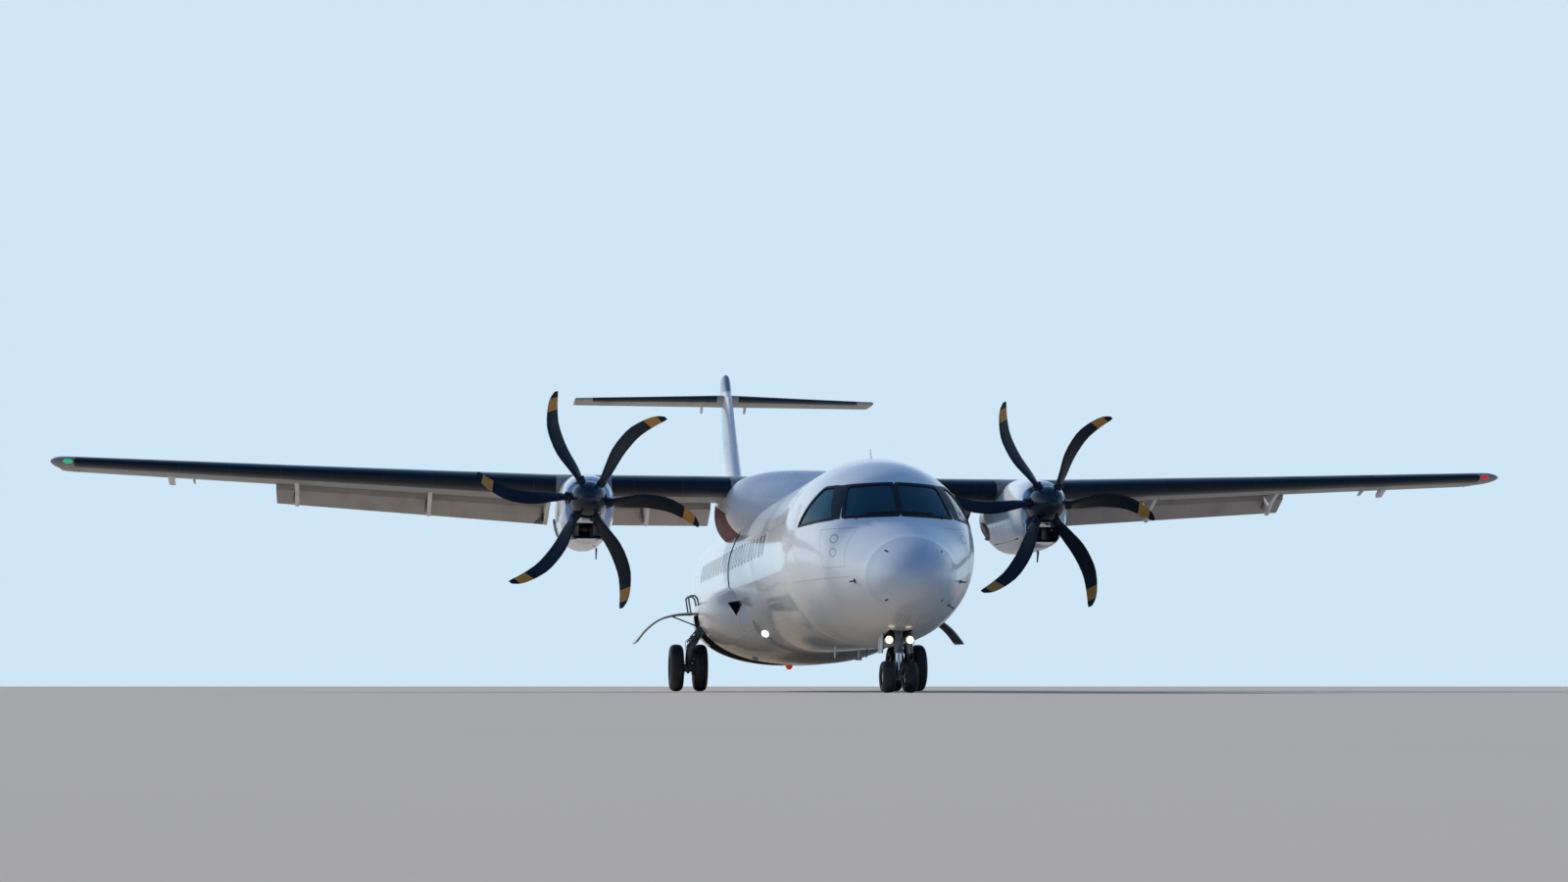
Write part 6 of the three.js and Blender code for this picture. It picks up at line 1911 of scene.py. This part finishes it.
# The small fittings: steel pitot tubes and wipers on the nose, white blade antennas on the roof and the
# belly, and under the tail a steel bumper on two legs. Thin masts drain water from below the floor.
# Station, chord, height, lean and thickness of the antennas on the roof
ROOF_ANTENNAS = (
    (4.25, 0.22, 0.2, 0.14, 0.028),
    (7.9, 0.26, 0.24, 0.16, 0.028),
    (16.6, 0.22, 0.2, 0.14, 0.028),
    (8.9, 0.34, 0.06, 0.03, 0.09),
)
# Station and distance from the middle of the antennas on the belly
BELLY_ANTENNAS = ((5.6, -0.35), (7.2, 0.28))
BUMPER_STATION = 19.55
# Drain masts below the floor: distance from the middle, station, how deep they are sunk, chord, height,
# lean and thickness
DRAIN_MASTS = (
    (-0.3, 17.6, 0.04, 0.12, 0.16, 0.08, 0.03),
    (0.25, 6.2, 0.03, 0.11, 0.14, 0.07, 0.028),
)


def skin_point(station, degrees, lift=0.0):
    return oval(FUSELAGE, station, math.radians(degrees), lift)


def fin_blade(foot, chord, height, lean, thickness, up=1):
    """A thin upright blade with a rounded section, leaning aft, above or below its foot."""
    outlines = []
    for i in range(6):
        share = i / 5
        width = chord * (1 - 0.45 * share) * (1 if i < 5 else 0.8)
        start = foot + Vector((0, lean * share - chord / 2, up * height * share))
        thin = thickness * (1 - 0.5 * share) / 0.12
        outlines.append([start + Vector((w * thin, u * width, 0)) for u, w in aerofoil(0.12)])
    return sweep(outlines)


def pitot(station, degrees):
    """An L-shaped tube with its open end ahead, on a flat foot."""
    foot = skin_point(station, degrees)
    out = (foot - place(0, station, row_at(FUSELAGE, station)[0])).normalized()
    sunk, elbow = foot - out * 0.01, foot + out * 0.07
    return together(
        rod(sunk, foot + out * 0.006, 0.036, 0.03),
        rod(sunk, elbow, 0.014, 0.009, 16),
        rod(elbow + Vector((0, 0.02, 0)), elbow - Vector((0, 0.13, 0)), 0.0095, 0.007, 16, 0.001),
    )


def front_station(table, x, z, low, high, power):
    """The station between two where the front of a skin has a given distance and height."""
    for _ in range(30):
        station = (low + high) / 2
        middle, rise, depth, half = row_at(table, station)
        tall = rise if z > middle else depth
        inside = abs(x / half) ** power + abs((z - middle) / tall) ** power < 1
        low, high = (low, station) if inside else (station, high)
    return low


def front_point(x, z, lift):
    """A point above the skin of the nose's upper front."""
    return place(x, front_station(FUSELAGE, x, z, 1.3, 3.2, 2), z) + Vector((0, -0.55, 0.83)) * lift


probe_steel = clouded("probe_steel", (20, 4), (0.06, 0.06, 0.065), (0.16, 0.155, 0.15), metallic=0.7)
probe = pitot(1.15, -10)
probes = together(probe, mirrored(probe), pitot(1.15, -40))
fit(probes, "nose_probes", "airframe", "gear_steel", probe_steel)

pivot, tip = front_point(0.62, 2.462, 0.012), front_point(0.12, 2.532, 0.022)
root, end = front_point(0.5, 2.525, 0.018), front_point(0.045, 2.545, 0.018)
wiper = [
    rod(pivot + Vector((0, 0.03, -0.03)), pivot + Vector((0, -0.01, 0.02)), 0.016, sides=18, bevel=0.002),
    rod(pivot, pivot.lerp(tip, 0.75), 0.008, 0.005, 12),
    rod(pivot.lerp(tip, 0.72), root.lerp(end, 0.5), 0.005, sides=10),
    rod(root, end, 0.009, sides=8),
]
fit(together(*with_mirrored(wiper)), "wipers", "airframe", "cockpit_glass", black_rubber)

antenna_paint = clouded("antenna_paint", (8, 4), (0.78, 0.8, 0.82), (0.68, 0.69, 0.7), 0.3, coat_weight=0.3)
antennas = [fin_blade(skin_point(station, 90, -0.012), *shape) for station, *shape in ROOF_ANTENNAS]
for station, x in BELLY_ANTENNAS:
    foot = place(x, station, CABIN_MIDDLE - math.sqrt(CABIN_RADIUS**2 - x * x) + 0.012)
    antennas.append(fin_blade(foot, 0.2, 0.18, 0.1, 0.028, -1))
fit(together(*antennas), "blade_antennas", "airframe", "fuselage_paint", antenna_paint)

keel = skin_point(BUMPER_STATION, -90).z
bumper = boxes((
    (-0.05, 19.42, keel - 0.13, 0.05, 19.52, keel + 0.03, 0.012),
    (-0.04, 19.58, keel - 0.13, 0.04, 19.65, keel + 0.05, 0.012),
))
bumper.append(box(place(-0.07, 19.36, keel - 0.165), place(0.07, 19.68, keel - 0.125), 0.015, 3))
for x, station, sunk, *shape in DRAIN_MASTS:
    bumper.append(fin_blade(place(x, station, skin_point(station, -90).z + sunk), *shape, -1))
fit(together(*bumper), "tail_bumper", "airframe", "gear_steel", gear_enamel)


# Lights: landing lamps behind clear covers in the belly fairing, a green lamp on the right wing tip and a
# red one on the left, and red beacons above and below the cabin. Thin wicks let static charge off.
lamp_red = lamp_material("red_lamp", (0.75, 0.02, 0.015), 0.5)
LAMP_X = 0.93
LAMP_Z = 1.02


def dome(centre, radius, height, up=1):
    """A rounded lens on a flat foot."""
    def surface(u, v):
        angle = u * math.pi / 2
        around = 2 * math.pi * v
        r = radius * math.sin(angle)
        return centre + Vector((r * math.cos(around), r * math.sin(around), up * height * math.cos(angle)))

    return roll(8, 28, surface)


spot = place(LAMP_X, front_station(BELLY_FAIRING, LAMP_X, LAMP_Z, 9.9, 11.6, 2.3), LAMP_Z)
facing = Vector((0.25, -1, -0.35)).normalized()
lamp = rod(spot - facing * 0.02, spot + facing * 0.03, 0.075, 0.068, 40, 0.004)
bezel = rod(spot - facing * 0.04, spot + facing * 0.022, 0.098, 0.09, 40, 0.005)
fit(together(*with_mirrored([lamp])), "landing_lamps", "airframe", "fairing_composite",
    lamp_material("landing_lamp", (1.0, 0.97, 0.92), 4))
fit(together(*with_mirrored([bezel])), "landing_lamp_bezels", "airframe", "fairing_composite", rim_paint)
beacons = [dome(skin_point(8.2, 90, -0.004), 0.07, 0.09), dome(place(0, 13.9, 0.487), 0.07, 0.08, -1)]
fit(together(*beacons), "beacons", "airframe", "fuselage_paint", lamp_red)

# A teardrop lens along the leading edge near the wing tip
outlines = []
for i in range(7):
    size = 0.045 * math.sqrt(max(1 - ((i - 3) / 3.2) ** 2, 0.03)) + 0.006
    edge = wing_point(13.1 + 0.17 * i / 6, 0.03, 0)
    outlines.append([edge + Vector((0, 1.15 * size * math.cos(a) - 0.008, 0.8 * size * math.sin(a)))
                     for a in (math.pi * k / 10 for k in range(20))])
tip_lamp = sweep(outlines)
fit(mirrored(tip_lamp), "tip_lamp_right", "airframe", "wing_paint",
    lamp_material("green_lamp", (0.03, 0.5, 0.22), 0.6))
fit(tip_lamp, "tip_lamp_left", "airframe", "wing_paint", lamp_red)

wicks = []
for x in (13.32, 13.42):
    foot = wing_point(x, wing_chord(x) * 0.9, 0.004)
    wicks.append(rod(foot, foot + Vector((0.03, 0.22, -0.012)), 0.005, 0.003, 8))
wicks = with_mirrored(wicks)
for z in (7.05, 7.3):
    foot = place(0, 26.9 - (z - 7) * 0.4, z)
    wicks.append(rod(foot - Vector((0, 0.1, 0)), foot + Vector((0, 0.12, 0.01)), 0.004, 0.003, 8))
fit(together(*wicks), "static_wicks", "airframe", "wing_paint", black_rubber)


# The fairings of the flaps' brackets: white canoe shapes under the wing, each beside its hinge arm.
# Shorter ones cover the ailerons' hinges, and two brackets hang below the tailplane.
# Distance from the middle, half width and depth of the covers under the ailerons
AILERON_COVERS = ((11.5, 0.055, 0.2), (11.1, 0.02, 0.15))
# Stations and heights round a bracket below the tailplane
TAIL_BRACKET = (
    (26.28, 6.945), (26.42, 6.84), (26.54, 6.76), (26.6, 6.77), (26.585, 6.85), (26.52, 6.9), (26.48, 6.95),
)


def bracket_cover(flap, x):
    chord, u, w = flap_hinge(x)
    outline = [
        (0.3 * chord, -0.055 * chord), (0.4 * chord, -0.09 * chord), (0.52 * chord, w * 0.74),
        (u - 0.08, w - 0.075), (u, w - 0.115), (u + 0.045, w - 0.1), (u + 0.06, w - 0.04),
        (u + 0.03, w + 0.05),
        (u - 0.03, -0.075 * chord), (u - 0.03, -0.04 * chord), (0.45 * chord, -0.035 * chord),
    ]
    return softened(hinge_plate(flap, x, -0.05, 0.026, outline), 0.018, 4)


def aileron_cover(x, half, drop):
    chord = wing_chord(x)
    outline = [
        (0.5 * chord, -0.04 * chord), (0.58 * chord, -0.5 * drop - 0.03), (0.665 * chord, -drop),
        (0.715 * chord, -drop), (0.71 * chord, -0.06 * chord), (0.665 * chord, -0.05 * chord),
        (0.63 * chord, -0.02),
    ]
    sides = [[wing_point(x + way * half, u, w) for u, w in outline] for way in (-1, 1)]
    return softened(sweep(sides), min(half * 0.6, 0.02), 4)


look = Look("bracket_cover_paint")
dirt = look.noise(4, 5, (1, 0.4, 1)).ease(0.45, 0.8)
cover_paint = look.finish(
    base_color=look.mix(dirt * 0.5, (0.74, 0.74, 0.73), (0.4, 0.36, 0.32)),
    roughness=dirt * 0.2 + 0.28,
    coat_weight=0.4,
)
covers = [bracket_cover(flap, x) for flap in (INNER_FLAP, OUTER_FLAP) for x in flap[2]]
covers += [aileron_cover(*row) for row in AILERON_COVERS]
fit_pair(together(*covers), "bracket_covers_{}", "airframe", "wing_paint", cover_paint)
bracket = softened(sweep([[place(x, s, z) for s, z in TAIL_BRACKET] for x in (0.5, 0.56)]), 0.015, 3)
fit(together(*with_mirrored([bracket])), "tailplane_brackets", "airframe", "tail_composite", cover_paint)


# The last small parts: a drain mast under each nacelle, and on each side of the fuselage a rubber strip
# that seals the skin from the wing's root down to the belly fairing.
drains = [fin_blade(place(side * ENGINE_X + 0.22, 11.3, 2.555), 0.16, 0.2, 0.1, 0.04, -1)
          for _, side in SIDES]
fit(together(*drains), "nacelle_drains", "airframe", "nacelle_composite", gear_enamel)
strip = tube([skin_point(11.6 - 0.02 * i, 38 - 5 * i, 0.003) for i in range(12)], 0.008, 8, 4)
fit(together(*with_mirrored([strip])), "seal_strips", "airframe", "fairing_composite", black_rubber)
